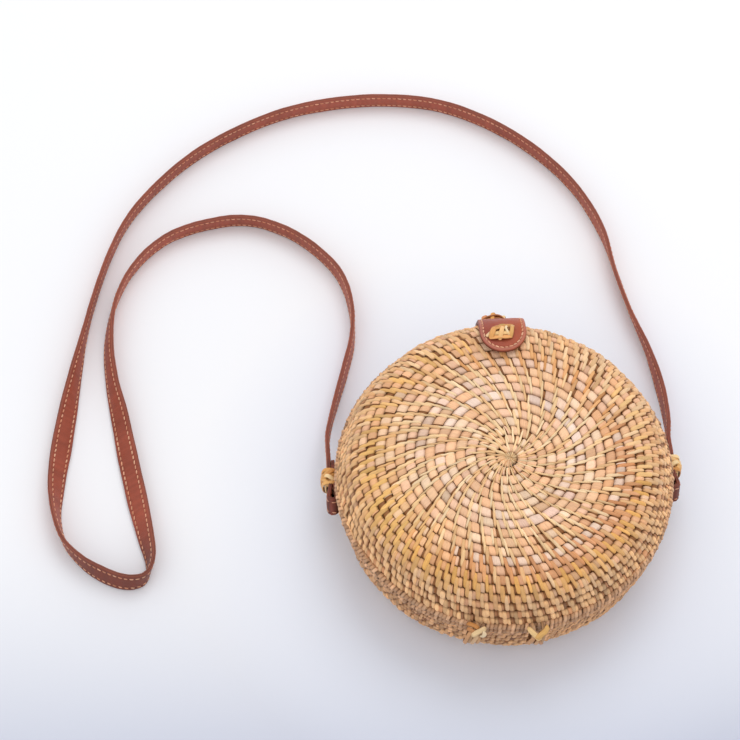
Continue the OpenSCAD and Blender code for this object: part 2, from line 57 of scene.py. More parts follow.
# %% [markdown]
# ## The camera
# The picture was taken from above the bag's lower edge with a long lens. A
# camera fitted to the bag's outline gives its place and directions, so we set
# the matrix from its right, up and backward directions rather than by eye.

# %% Camera
def put(name, data):
    """A new object in the scene"""
    thing = bpy.data.objects.new(name, data)
    bpy.context.scene.collection.objects.link(thing)
    return thing


camera = put("camera", bpy.data.cameras.new("camera"))
camera.data.lens = 124.64
ahead = Vector((0.0218, 0.4987, -0.8665)).normalized()
right = Vector((0.99905, -0.04362, 0)).normalized()
turned = Matrix((right, right.cross(ahead), -ahead)).transposed().to_4x4()
camera.matrix_world = Matrix.Translation((-0.1094, -0.6959, 1.3864)) @ turned
bpy.context.scene.camera = camera
bpy.context.scene.view_settings.view_transform = "Standard"
print("camera looks along", [round(v, 3) for v in ahead])

# %% [markdown]
# ## Shader sums as plain Python
# A node graph is easier to read as a sum. `Wire` wraps an output socket, and
# adding or multiplying wires makes the Math node that does it. `Finish` is a
# material with one method that adds any node.

# %% Wires and finishes
class Wire:
    def __init__(self, finish, socket):
        self.finish, self.socket = finish, socket

    def math(self, operation, a, b):
        return self.finish.node("Math", {0: a, 1: b}, operation=operation)

    def __add__(self, b): return self.math("ADD", self, b)
    def __radd__(self, b): return self.math("ADD", b, self)
    def __sub__(self, b): return self.math("SUBTRACT", self, b)
    def __rsub__(self, b): return self.math("SUBTRACT", b, self)
    def __mul__(self, b): return self.math("MULTIPLY", self, b)
    def __rmul__(self, b): return self.math("MULTIPLY", b, self)
    def __pow__(self, b): return self.math("POWER", self, b)


class Finish:
    def __init__(self, name, plain=()):
        self.material = bpy.data.materials.new(name)
        self.material.use_nodes = True
        self.tree = self.material.node_tree
        self.shader = self.tree.nodes["Principled BSDF"]
        self.set(plain)

    def node(self, kind, sockets=(), output=0, **settings):
        new = self.tree.nodes.new("ShaderNode" + kind)
        for key, value in settings.items():
            setattr(new, key, value)
        for key, value in dict(sockets).items():
            self.feed(new.inputs[key], value)
        return Wire(self, new.outputs[output])

    def feed(self, socket, value):
        if isinstance(value, Wire):
            self.tree.links.new(value.socket, socket)
        else:
            socket.default_value = value

    def set(self, sockets):
        for key, value in dict(sockets).items():
            self.feed(self.shader.inputs[key], value)

    def tint(self, output=0):
        """A strand's own colour, or with output 3 how open the point lies, which sets its painted
        shade
        """
        return self.node("Attribute", (), output, attribute_name="tint")

    def lay(self):
        return self.node("UVMap", uv_map="lay")

    def mix(self, factor, a, b):
        return self.node("Mix", {0: factor, 6: a, 7: b}, 2, data_type="RGBA")

    def scaled(self, vector, factor):
        return self.node("VectorMath", {0: vector, "Scale": factor}, operation="SCALE")

    def stretched(self, vector, amounts):
        return self.node("VectorMath", {0: vector, 1: amounts}, operation="MULTIPLY")

    def noise(self, where, scale, detail=2.0):
        return self.node("TexNoise", {"Vector": where, "Scale": scale, "Detail": detail})

    def ridge(self, height, strength, depth):
        return self.node("Bump", {"Strength": strength, "Distance": depth, "Height": height})


def paint(text):
    """A colour written as #rrggbb, in the linear numbers that Blender uses"""
    c = np.array([int(text[i:i + 2], 16) for i in (1, 3, 5)]) / 255
    return np.where(c <= 0.04045, c / 12.92, ((c + 0.055) / 1.055) ** 2.4)


def paints(texts):
    return np.array([paint(c) for c in texts])


def opaque(text):
    return (*paint(text), 1.0)


# %% [markdown]
# ## Cane
# Split cane is a pale straw with fibres along it. It shines a little on top,
# and down in the grooves it is painted darker and browner as painted shade.
# Every strand carries its own tint in a colour attribute, whose fourth number
# says how open a point lies and so how much painted shade it gets, and a UV
# map in millimetres tells the shader which way the fibres run.

# %% Finish for cane
def cane_finish(name, shine, contrast, relief):
    f = Finish(name, {"Specular IOR Level": 0.4})
    tint, open_air, lay = f.tint(), f.tint(3), f.lay()
    fibres = f.noise(f.stretched(lay, (1.5, 0.16, 1.0)), 1.0, 4.0)
    threads = f.noise(f.stretched(lay, (5.0, 0.3, 1.0)), 1.0, 2.0)
    stain = f.noise(lay, 0.05, 3.0)
    shade = (1 - contrast * 0.5 + contrast * fibres) * (0.94 + 0.12 * threads)
    # Painted shade: the less open a point lies, the darker and browner (#94521f) it is painted.
    shade = shade * (0.56 + 0.44 * open_air) * (0.92 + 0.16 * stain)
    hue = f.mix(0.7 * (1 - open_air), tint, opaque("#94521f"))
    f.set({"Base Color": f.scaled(hue, shade), "Roughness": shine + 0.3 * fibres,
           "Normal": f.ridge(fibres + 0.6 * threads, relief, 0.0005)})
    return f.material


woven_cane = cane_finish("woven cane", 0.42, 0.48, 0.8)
knot_cane = cane_finish("golden knot cane", 0.30, 0.44, 0.7)
print("cane finishes:", woven_cane.name, knot_cane.name)

# %% [markdown]
# ## Many small sheets in one mesh
# The weave has thousands of strands. Making an object for each would be slow,
# so we fill NumPy arrays with grids of points and turn a whole stack of grids
# into one mesh. A grid whose last column joins its first becomes a tube.

# %% Sheets and tubes
def sheets(name, grids, uv, tint, finish, closed=False, flip=None):
    n, rows, columns, _ = grids.shape
    corner = np.arange(n * rows * columns).reshape(n, rows, columns)
    label = np.arange(uv[..., 0].size).reshape(uv.shape[:3])
    if closed:
        corner = np.concatenate([corner, corner[:, :, :1]], 2)

    def around(grid):
        return np.stack([grid[:, :-1, :-1], grid[:, 1:, :-1],
                         grid[:, 1:, 1:], grid[:, :-1, 1:]], -1).reshape(-1, 4)
    quads, uv_quads = around(corner), around(label)
    flat = grids.reshape(-1, 3)
    if flip is None:
        a, b, c, d = (flat[quads[:, k]] for k in range(4))
        middle = np.repeat(grids.mean(2, keepdims=True), columns, 2).reshape(-1, 3)
        outward = ((a - middle[quads[:, 0]]) * np.cross(c - a, d - b)).sum()
        flip = outward < 0
    if flip:
        quads, uv_quads = quads[:, ::-1], uv_quads[:, ::-1]
    mesh = bpy.data.meshes.new(name)
    mesh.from_pydata((flat * MM).tolist(), [], quads.tolist())
    layer = mesh.uv_layers.new(name="lay")
    layer.uv.foreach_set("vector", uv.reshape(-1, 2)[uv_quads.ravel()].astype(np.float32).ravel())
    colour = mesh.color_attributes.new("tint", "FLOAT_COLOR", "POINT")
    colour.data.foreach_set("color", np.broadcast_to(tint, (n, rows, columns, 4))
                            .astype(np.float32).ravel())
    mesh.shade_smooth()
    mesh.materials.append(finish)
    piece = put(name, mesh)
    return piece


def smooth(points, steps):
    """A smooth curve through a list of points, with a number of steps for each"""
    p = np.asarray(points, float)
    p = np.concatenate([p[:1], p, p[-1:]])
    t = (np.arange(steps) / steps)[None, :, None]
    a, b, c, d = (p[k:len(p) - 3 + k, None] for k in range(4))
    line = b + t / 2 * (c - a) + t * t / 2 * (2 * a - 5 * b + 4 * c - d) \
        + t ** 3 / 2 * (3 * b - a - 3 * c + d)
    return np.concatenate([line.reshape(-1, p.shape[1]), p[-1:]])


def unit(v):
    return v / np.maximum(np.linalg.norm(v, axis=-1, keepdims=True), 1e-9)


def travelled(line):
    """How far along a line each of its points lies"""
    return np.concatenate([[0], np.cumsum(np.linalg.norm(np.diff(line, axis=0), axis=1))])


def read_off(at, far, line):
    """The places on a line at some distances along it"""
    return np.stack([np.interp(at, far, v) for v in line.T], -1)


# %% [markdown]
# ## Short words for grids
# In a stack of grids the first axis counts the strands, the second goes along
# a strand and the third across it. `each`, `down` and `over` put numbers on
# those three axes, and NumPy fills in the rest.

# %% Axes of a grid
def each(v):
    return np.asarray(v)[:, None, None]


def down(v):
    return np.asarray(v, float)[None, :, None]


def over(v):
    return np.asarray(v, float)[None, None, :]


def circle(n):
    return over(np.arange(n) / n * 2 * pi)


def uneven(n, amount):
    """Another amount for each strand"""
    return amount * chance.normal(size=(n, 1, 1))


# %% [markdown]
# ## The two bowls
# Both shells have the same outline: a nearly flat face, a round shoulder and
# a wall that leans in. `Bowl` gives a point on the outside from the distance
# `s` along that outline and the angle round the bag, lifted off the surface
# by any amount. Slow waves in the lift keep it from looking turned on a lathe.

# %% Bowl surfaces
BAG_R, SEAM_Z = 100.0, 46.0


class Bowl:
    def __init__(self, depth, crown, shoulder, lean, side):
        self.depth, self.crown, self.shoulder = depth, crown, shoulder
        self.lean, self.side = radians(lean), side
        straight = depth - shoulder + shoulder * sin(self.lean)
        self.face = BAG_R - shoulder * cos(self.lean) - tan(self.lean) * straight
        self.bend = (pi / 2 - self.lean) * shoulder
        self.length = self.face + self.bend + straight / cos(self.lean)

    def profile(self, s):
        flat = s < self.face
        turn = pi / 2 - np.clip((s - self.face) / self.shoulder, 0, pi / 2 - self.lean)
        down = np.maximum(s - self.face - self.bend, 0)
        r = np.where(flat, s, self.face + self.shoulder * np.cos(turn) + down * sin(self.lean))
        z = np.where(flat, self.depth + self.crown * (1 - (s / self.face) ** 2),
                     self.depth - self.shoulder + self.shoulder * np.sin(turn)
                     - down * cos(self.lean))
        out_r = np.where(flat, 2 * self.crown * s / self.face ** 2, np.cos(turn))
        return r, z, out_r, np.where(flat, 1.0, np.sin(turn))

    def point(self, s, angle, lift):
        x, y = s * np.cos(angle), s * np.sin(angle)
        lift = lift + 0.26 * np.sin(0.11 * x + 0.07 * y + 1) \
            + 0.2 * np.sin(0.13 * y - 0.06 * x + 2.1) + 0.12 * np.sin(0.2 * x - 0.24 * y + 4)
        r, z, out_r, out_z = self.profile(s)
        r, z = r + lift * out_r, z + lift * out_z
        height = SEAM_Z + self.side * z
        return np.stack([r * np.cos(angle), r * np.sin(angle), np.maximum(height, 0.05)], -1)


lid_bowl = Bowl(30, 2, 21, 20, 1)
back_bowl = Bowl(46, 0, 22, 9, -1)
print("outline lengths:", round(lid_bowl.length, 1), round(back_bowl.length, 1))

# %% [markdown]
# ## The coil
# A coiled basket has no separate rings: its rows are one spiral, so the edge
# of a row moves out by a full row over each turn. The maker's centre is a
# little off the bag's, so the spiral is shifted. The last turn gets thinner
# until it runs out beside the rim hoop.

# %% Spiral
ROW = 5.79


class Coil:
    def __init__(self, bowl, first, last, shifts):
        self.bowl, self.first, self.last = bowl, first, last
        self.shifts = np.array(shifts, float)
        self.begin = (0.2 - first) / ROW * 2 * pi
        self.end = (last + ROW - first) / ROW * 2 * pi

    def along(self, angle, rows):
        """Distance and angle on the bowl, a number of rows outside the coil's edge"""
        s = self.first + ROW * (rows - angle / (2 * pi))
        outer = np.clip(s / 40, 0, 1)[..., None]
        shift = self.shifts[0] * (1 - outer) + self.shifts[1] * outer
        x, y = s * np.cos(angle) + shift[..., 0], s * np.sin(angle) + shift[..., 1]
        return np.hypot(x, y), np.arctan2(y, x)

    def fill(self, angle, row):
        """How much of a row is left before the rim, from 1 down to 0"""
        return np.clip((self.last - self.along(angle, row)[0]) / ROW, 0, 1)

    def place(self, angle, rows, lift):
        s, turned = self.along(angle, rows)
        return self.bowl.point(s, turned, lift)

    def radius(self, angle, row=0.5):
        s, _ = self.along(angle, row)
        return np.maximum(self.bowl.profile(np.minimum(s, self.last))[0], 2.5)


lid_coil = Coil(lid_bowl, 4.63, 113.0, ((1.6, -4.4), (0.8, -3.0)))
back_coil = Coil(back_bowl, 3.9, 128.5, ((0, 0), (0, 0)))
print("turns:", round((lid_coil.end - lid_coil.begin) / 2 / pi, 1),
      round((back_coil.end - back_coil.begin) / 2 / pi, 1))

# %% [markdown]
# ## Where the binding strands start
# A strand comes up through the coil, passes over two rows and goes down
# again. On the next turn a new one comes up beside its second half, moved on
# by a strand's slant and width, which staggers the weave. Spacing, width and
# slant are tables by the distance from the middle. Where the gaps grow too
# wide the maker adds a strand, and where they close up leaves one out.

# %% Strand starts
SPACING = ([4, 6, 12, 18, 26.5, 33, 45, 52, 58, 71, 78, 85, 91, 98],
           [1.3, 1.8, 3.2, 4.5, 5.7, 6.6, 7.2, 7.2, 7.1, 6.9, 6.7, 6.3, 5.9, 5.6])
WIDTH = ([3, 10, 25, 50, 62, 74, 92, 98], [0.6, 0.8, 0.95, 1.15, 1.5, 1.85, 2.1, 2.05])
SLANT = ([4, 15, 50, 70, 85, 95], [8, 18, 19, 15, 11, 8])
CROWDED, SPARSE, EVENING, CARELESS = 0.68, 1.45, 0.2, 0.035


def slant(r):
    """How far a strand moves round the bag over one row"""
    return ROW * np.tan(np.radians(np.interp(r, *SLANT)))


def strand_starts(coil):
    """The coil's angle at each strand, and whether a strand of the last turn leads to it"""
    starts, paired, parent = [coil.begin], [False], 0
    while starts[-1] < coil.end:
        r = float(coil.radius(-starts[-1]))
        want = float(np.interp(r, *SPACING)) / r
        follow = starts[parent] + 2 * pi - (slant(r) + np.interp(r, *WIDTH)) / r
        gap = follow - starts[-1]
        if gap < CROWDED * want:
            parent += 1
            continue
        fresh = gap > SPARSE * want
        if fresh:
            new = starts[-1] + gap / max(2, round(gap / want))
        else:
            new, parent = follow - EVENING * (gap - want), parent + 1
        starts.append(new + CARELESS * want * chance.normal())
        paired.append(not fresh)
    return np.array(starts), np.array(paired)


# %% [markdown]
# ## Cane of several bundles
# The maker uses up one bundle of cane before the next, so the tint changes in
# stretches along the coil. The runs list such stretches in turns from the
# middle, and strands inside a stretch still vary. The cane gets more tan
# outwards, the lid has a golden patch, and the walls have their own tint.

# %% Tints of the weave
BLOCKS = ["#fecea2", "#ffe0c0", "#fac192", "#feceae", "#fbc69a"]
STRANDS = ["#f8d4a2", "#fde0b6", "#efbd86", "#f7d09c"]
BLOCK_RUNS = [(4.98, 5.14, "#fde3d2", .7), (5.2, 5.52, "#fde0cc", .55),
              (5.6, 5.78, "#fde6d8", .7), (5.84, 6.03, "#fce4d8", .7),
              (6.12, 6.3, "#f9d6c8", .6), (6.7, 6.99, "#f7cdb6", .5),
              (7.5, 7.78, "#fadccb", .6), (8.86, 9.22, "#eeb07e", .7),
              (9.7, 9.9, "#f8dccb", .6), (9.98, 10.34, "#fae4d4", .8),
              (10.7, 11.0, "#f6d2b8", .5), (11.05, 11.34, "#f6cdb4", .5),
              (12.06, 12.4, "#cf8c60", .6), (13.1, 13.4, "#dcae7c", .6)]
STRAND_RUNS = [(8.7, 9.0, "#e6a05e", .5), (9.68, 9.95, "#e2964e", .7),
               (9.95, 10.34, "#cf7b48", .7), (10.34, 10.9, "#e6a560", .5),
               (11.04, 11.4, "#dc8a56", .65), (11.4, 11.72, "#f2bf6c", .7),
               (11.9, 12.06, "#f0c474", .6), (12.04, 12.38, "#efb658", .85),
               (12.38, 12.66, "#f2c06c", .8), (13.1, 13.45, "#e6b566", .7)]
PATCH_ANGLE, PATCH_S, PATCH_SPREAD = 203, 73, (36, 15)


# %% Colour and UV of each strand
def toward(colour, text, share):
    """A colour moved a share of the way to another"""
    return colour + (paint(text) - colour) * share


def tints(turns, s, palette, runs, wall):
    pick = chance.integers(0, len(palette), len(turns))
    colour = paints(palette)[pick]
    colour = colour * 0.75 + colour.mean(0) * 0.25
    for start, stop, shade, strength in runs:
        inside = (turns > start) & (turns < stop) & (chance.random(len(turns)) < 0.9)
        colour = toward(colour, shade, strength * inside[:, None])
    colour = toward(colour, "#e39e64", 0.42 * np.clip((s - 50) / 40, 0, 1)[:, None])
    if runs:
        off = (np.degrees(-turns * 2 * pi) - PATCH_ANGLE + 180) % 360 - 180
        near = (off / PATCH_SPREAD[0]) ** 2 + ((s - PATCH_S) / PATCH_SPREAD[1]) ** 2
        gold = 0.55 * np.exp(-near)[:, None] * chance.uniform(0.3, 1.2, (len(turns), 1))
        colour = toward(colour, "#f5c26a", gold * (0.45 if palette is BLOCKS else 1))
    side = np.clip((s - 92) / 12, 0, 1)[:, None]
    colour = toward(colour, wall, 0.75 * side)
    return colour * (1 + (0.08 + 0.10 * side) * chance.normal(size=(len(turns), 1)))


def with_air(colour, open_air):
    """A tint whose fourth number says how open each point lies"""
    shape = np.broadcast_shapes(colour.shape[:-1], open_air.shape)
    return np.concatenate([np.broadcast_to(colour, (*shape, 3)),
                           np.broadcast_to(open_air, shape)[..., None]], -1)


def with_depth(colour, lift, wall=0.0):
    """The tint of each strand with painted shade: darker the lower a point lies, more so on the
    walls
    """
    open_air = 1 + (lift + 0.5 - 0.1 * wall) / (1.55 - 0.75 * wall)
    return with_air(each(colour), np.clip(open_air, 0, 1))


def lay_map(n, along, across):
    """UV in millimetres, moved for each strand so that no two match"""
    move = 17.0 * each(np.arange(n))
    shape = np.broadcast_shapes(along.shape, across.shape, (n, 1, 1))
    return np.stack([np.broadcast_to(across + move, shape),
                     np.broadcast_to(along + 3.1 * move, shape)], -1)


# %% [markdown]
# ## What the blocks and strands share
# Both are placed by the same coil, so they fit each other wherever the bowl
# bends. `Layout` works out once where each strand starts, how wide it is, how
# far it leans, whether it is on the wall and how much of its rows is left
# before the rim. `lay` turns distances across and rows into sheets of cane.

# %% Layout
class Layout:
    def __init__(self, coil):
        starts, paired = strand_starts(coil)
        keep = coil.fill(-starts, 0) > 0.2
        starts, self.paired = starts[keep], paired[keep]
        self.coil, self.starts, self.n = coil, starts, len(starts)
        self.s, self.r = coil.along(-starts, 0.5)[0], coil.radius(-starts)
        self.wall = np.clip((self.s - 88) / 10, 0, 1)
        wide = np.interp(self.r, [10, 60], [1.55, 1.35]) * np.interp(self.r, *WIDTH)
        self.wide = wide * (1 + 0.12 * chance.normal(size=self.n))
        self.lean = slant(self.r) * (1 + 0.12 * chance.normal(size=self.n))
        self.fill = each(coil.fill(-starts, 0))
        self.next_fill = np.maximum(each(coil.fill(-starts, 1)), 0.45)

    def lay(self, name, t, rows, across, lift, reach, tint, some=slice(None)):
        grid = self.coil.place(-each(self.starts) + across / reach, rows, lift)
        uv = lay_map(self.n, ROW * t, across - each(self.lean) * t)
        # with_depth paints shade into the tint: the deeper a point lies, the darker it is.
        tint = with_depth(tints(self.starts / (2 * pi), self.s, *tint), lift, each(self.wall))
        return sheets(name, grid[some], uv[some], tint[some], woven_cane,
                      flip=self.coil.bowl.side < 0)


# %% [markdown]
# ## Blocks
# The blocks are the broad bundles that show between one pair of strands and
# the next. Each is a cushion over the coil, domed across the row. It falls
# deepest at its corners, where a real basket has its small dark gaps.

# %% Blocks
BLOCK_LEVEL, BLOCK_FALL, BLOCK_LEAST = -0.35, 1.75, 0.7


def lay_blocks(w, name, *tint):
    gap = np.diff(w.starts, prepend=w.starts[0] - 0.3) * w.r
    left = 0.5 * w.wide - 0.25
    right = gap - np.roll(np.where(w.paired, 1.45, 0.5) * w.wide, 1) + 0.2
    t, c = down([0, 0.1, 0.28, 0.5, 0.72, 0.9, 1]), over([0, 0.1, 0.3, 0.7, 0.9, 1])
    off = np.abs(2 * c - 1)
    level = BLOCK_LEVEL + uneven(w.n, each(0.12 + 0.14 * w.wall))
    fall = np.clip(BLOCK_FALL + uneven(w.n, 0.4), 0.9, 2.5) + 0.4 * each(w.wall)
    dome = np.sqrt(1 - np.abs(0.985 * (2 * t - 1)) ** 2.8)
    lift = level - fall * (0.62 + 0.38 * off ** 2) * (1 - dome) - 0.3 * off ** 5
    across = each(left) * (1 - c) + each(right) * c + each(w.lean) * t
    return w.lay(name, t, t * w.fill, across, lift, each(w.r), tint, right - left > BLOCK_LEAST)


# %% [markdown]
# ## Strands
# The strands are narrow and arched over two rows. They dip where they cross
# the groove between the rows, and both ends are tucked in and tapered.

# %% Strands
ARCH, TUCK, DIP = 0.1, 1.6, 0.4


def lay_strands(w, name, *tint):
    t, c = down(np.linspace(0, 2, 15)), over([-1, -0.6, 0, 0.6, 1])
    off = np.abs(t - 1)
    taper = np.interp(t, [0, 0.25, 1.6, 2], [0.75, 1, 1, 0.6])
    across = each(w.lean) * t + c * each(w.wide) / 2 * taper - 0.1 * np.sin(pi * t)
    rows = np.where(t < 1, t * w.fill, w.fill + (t - 1) * w.next_fill)
    arch = ARCH - TUCK * off ** 9 - 0.25 * off ** 2 - 0.1 * (t > 1)
    dip = DIP * (1 + each(w.wall)) * np.exp(-(off / 0.16) ** 2)
    rounded = 0.36 * c ** 2 + 0.3 * c ** 8
    lift = arch - dip + uneven(w.n, each(0.08 + 0.08 * w.wall)) - rounded
    reach = np.maximum(w.coil.radius(-each(w.starts), rows), 3)
    return w.lay(name, t, rows, across, lift, reach, tint)


# %% [markdown]
# ## The coil's start and core
# At the middle, short wedges of cane lie over the coil's first curl like the
# petals of a flower. Under everything runs the coil itself, a tube along the
# spiral. It shows only in the gaps, so it has the tint of cane in shade.

# %% Start and core
PETALS, PETAL_REACH = 15, 4.7
CORE_DEPTH, CORE_R, CORE_STEP = 2.7, 1.9, 3.0


def lay_start(coil, name, wall_tint):
    t, c = down(np.linspace(0, 1, 6)), over(np.linspace(-0.52, 0.52, 5))
    angle = each(np.arange(PETALS)) * 2 * pi / PETALS + 0.2 + c * 2 * pi / PETALS + 0.6 * t
    lift = -0.5 - 0.5 * np.abs(2 * c) ** 3 - 1.4 * t ** 4 + uneven(PETALS, 0.2)
    x, y = coil.shifts[0] + 0.2
    reach = 0.1 + PETAL_REACH * t
    x, y = x + reach * np.cos(angle), y + reach * np.sin(angle)
    grid = coil.bowl.point(np.hypot(x, y), np.arctan2(y, x), lift)
    colour = tints(np.full(PETALS, 0.3), np.full(PETALS, 3.0), STRANDS, [], wall_tint)
    return sheets(name, grid, lay_map(PETALS, 4.2 * t, 1.7 * c), with_depth(colour, lift),
                  woven_cane, flip=coil.bowl.side < 0)


def lay_core(coil, name):
    path = [coil.begin]
    while path[-1] < coil.end - 2 * pi * 0.2:
        path.append(path[-1] + CORE_STEP / float(coil.radius(-path[-1])))
    path, around = down(path), circle(12)
    fill = coil.fill(-path, 0)
    lift = -CORE_DEPTH + CORE_R * np.sqrt(fill) * np.sin(around)
    grid = coil.place(-path, (0.5 + 0.49 * np.cos(around)) * fill, lift)
    uv = np.stack(np.broadcast_arrays(path * 20, over(np.arange(13)) * 1.2), -1)
    tint = np.ones((1, path.shape[1], 12, 4)) * [*paint("#a8703e"), 0.55]
    return sheets(name, grid, uv, tint, woven_cane, closed=True)


# %% Both shells
def weave(name, coil, node, body, wall_block, wall_strand, block_runs=(), strand_runs=()):
    w = Layout(coil)
    blocks = lay_blocks(w, name + "_blocks", BLOCKS, block_runs, wall_block)
    strands = lay_strands(w, name + "_strands", STRANDS, strand_runs, wall_strand)
    start = lay_start(coil, name + "_start", wall_block)
    core = lay_core(coil, name + "_core")
    for piece in (core, start, blocks, strands):
        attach(piece, body)
    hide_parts(node)
    faces = sum(len(p.data.polygons) for p in (core, blocks, strands))
    print(name, "strands:", w.n, "faces:", faces)


weave("lid_weave", lid_coil, "lid_shell", "lid", "#cc8c5c", "#fcc890", BLOCK_RUNS, STRAND_RUNS)
weave("back_weave", back_coil, "back_shell", "back", "#a8724a", "#daa270")

# %% [markdown]
# ## The rims
# Each shell ends in a round hoop, bound all the way round with cane. The
# wraps are short sleeves on the hoop. Every third one stands out a little,
# and each leans, because the strand travels along the hoop as it goes round.

# %% Wrapped rims
HOOP_R, HOOP_T, WRAPS = 97.8, 2.1, 83


def wrapped_rim(name, node, body, side):
    count = 3 * WRAPS
    broad = (np.arange(count) % 3 > 0)
    width = np.where(broad, 2.7, 2.3) * (1 + 0.06 * chance.normal(size=count))
    middle = (np.arange(count) + 0.08 * chance.normal(size=count)) * 2 * pi / count
    c, turn = down(np.linspace(0, 1, 5)), circle(14)
    puff = each(np.where(broad, 0.05, 0.4)) - np.abs(2 * c - 1) ** 4 * 0.5
    reach = HOOP_T - 0.15 + puff + uneven(count, 0.08)
    across = (c - 0.5) * each(width)
    angle = each(middle) + (across + 0.9 * np.sin(turn / 2)) / HOOP_R
    r = HOOP_R + reach * np.cos(turn)
    z = SEAM_Z + side * (0.15 + HOOP_T) + reach * np.sin(turn)
    grid = np.stack([r * np.cos(angle), r * np.sin(angle), z + 0 * angle], -1)
    uv = lay_map(count, over(np.arange(15)) * 0.94, across)
    colour = tints(np.zeros(count), np.full(count, 104.0), BLOCKS, [], "#dcae86")
    # Painted shade: each wrap is painted darker towards its ends, and the lower wraps darker than
    # those that stand out.
    tint = with_depth(colour, (puff - 0.5) * 2 + 0 * turn)
    rim = sheets(name, grid, uv, tint, woven_cane, closed=True)
    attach(rim, body)
    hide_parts(node)
    print(name, "wraps:", count)


wrapped_rim("lid_rim_wraps", "lid_rim", "lid", 1)
wrapped_rim("back_rim_wraps", "back_rim", "back", -1)

# %% [markdown]
# ## Leather
# The strap and the tab are two layers of brown leather glued back to back and
# stitched near the edge. Leather is cloudy rather than one brown: it is darker
# where hands rub it, it has pores, and it creases across its length. The tint
# comes from the mesh, and its fourth number is low in the slit between layers,
# in the stitch grooves and at the edges, where it paints shade.

# %% Finish for leather
def leather_finish(name, shine):
    f = Finish(name, {"Specular IOR Level": 0.3, "Coat Roughness": 0.35})
    tint, open_air, lay = f.tint(), f.tint(3), f.lay()
    cloud = f.noise(lay, 0.05, 4.0)
    patch = f.noise(f.stretched(lay, (1.0, 0.6, 1.0)), 0.3, 4.0)
    crease = f.noise(f.stretched(lay, (0.3, 1.0, 1.0)), 1.1, 3.0)
    pores = f.noise(lay, 3.0, 3.0)
    shade = (0.60 + 0.42 * cloud + 0.30 * patch) * (0.90 + 0.20 * pores)
    # Painted shade: the less open a point lies, the darker it is painted.
    shade = shade * (0.25 + 0.75 * open_air) * (0.93 + 0.14 * crease)
    f.set({"Base Color": f.scaled(tint, shade), "Roughness": shine + 0.3 * patch,
           "Coat Weight": 0.04 + 0.12 * cloud,
           "Normal": f.ridge(crease + 0.35 * pores + 0.4 * patch, 0.6, 0.0005)})
    return f.material


strap_leather = leather_finish("strap leather", 0.38)
tab_leather = leather_finish("tab leather", 0.32)
print("leather finishes:", strap_leather.name, tab_leather.name)

# %% [markdown]
# ## Thread
# The stitches are waxed thread, laid in small slanting lengths that dip into
# the leather at both ends. A fine stripe across the UV map stands for its twist.

# %% Finish for thread
f = Finish("waxed thread", {"Specular IOR Level": 0.35})
lay = f.lay()
twist = f.node("TexWave", {"Vector": lay, "Scale": 1.3, "Distortion": 0.6}, 1,
               wave_profile="SIN", bands_direction="DIAGONAL")
fluff = f.noise(lay, 4.0, 3.0)
f.set({"Base Color": f.scaled(f.tint(), 0.72 + 0.22 * twist + 0.14 * fluff),
       "Roughness": 0.55 + 0.2 * fluff, "Normal": f.ridge(twist + 0.4 * fluff, 0.5, 0.0002)})
waxed_thread = f.material
THREADS = ["#f0b08c", "#f6bf9c", "#e6a07c", "#f2b695"]


# %% Stitches
def stitches(name, middle, way, out):
    """One short closed tube for each stitch, lying along way on a face whose normal is out"""
    n = len(middle)
    t, turn = down([-1, -0.82, -0.4, 0.4, 0.82, 1]), circle(6)
    thick = np.sqrt(np.maximum(1 - t ** 4, 0.02))
    across = np.cross(way, out)
    way = unit(way + 0.16 * across + 0.04 * chance.normal(size=(n, 1)) * across)
    reach = 1.28 * (1 + 0.06 * chance.normal(size=(n, 1, 1, 1)))
    grid = (each(middle) + each(way) * t[..., None] * reach
            + each(across) * (0.5 * thick * np.cos(turn))[..., None]
            + each(out) * (0.34 * thick * np.sin(turn) + 0.18 * (1 - t * t))[..., None])
    colour = paints(THREADS)[chance.integers(0, 4, n)] * (1 + 0.08 * chance.normal(size=(n, 1)))
    uv = lay_map(n, 1.3 * t, 0.4 * over(np.arange(7)))
    tint = with_air(each(colour), np.ones(grid.shape[:3]))
    return sheets(name, grid, uv, tint, waxed_thread, closed=True)


# %% [markdown]
# ## The strap
# The strap lies on its edge on the table. It runs from the folded end at the
# left knot out over the table in a figure of eight round the bag and back to
# the right knot. We repeat its route from the model: place on the table in
# centimetres and how far it leans. Only its two ends are lifted.

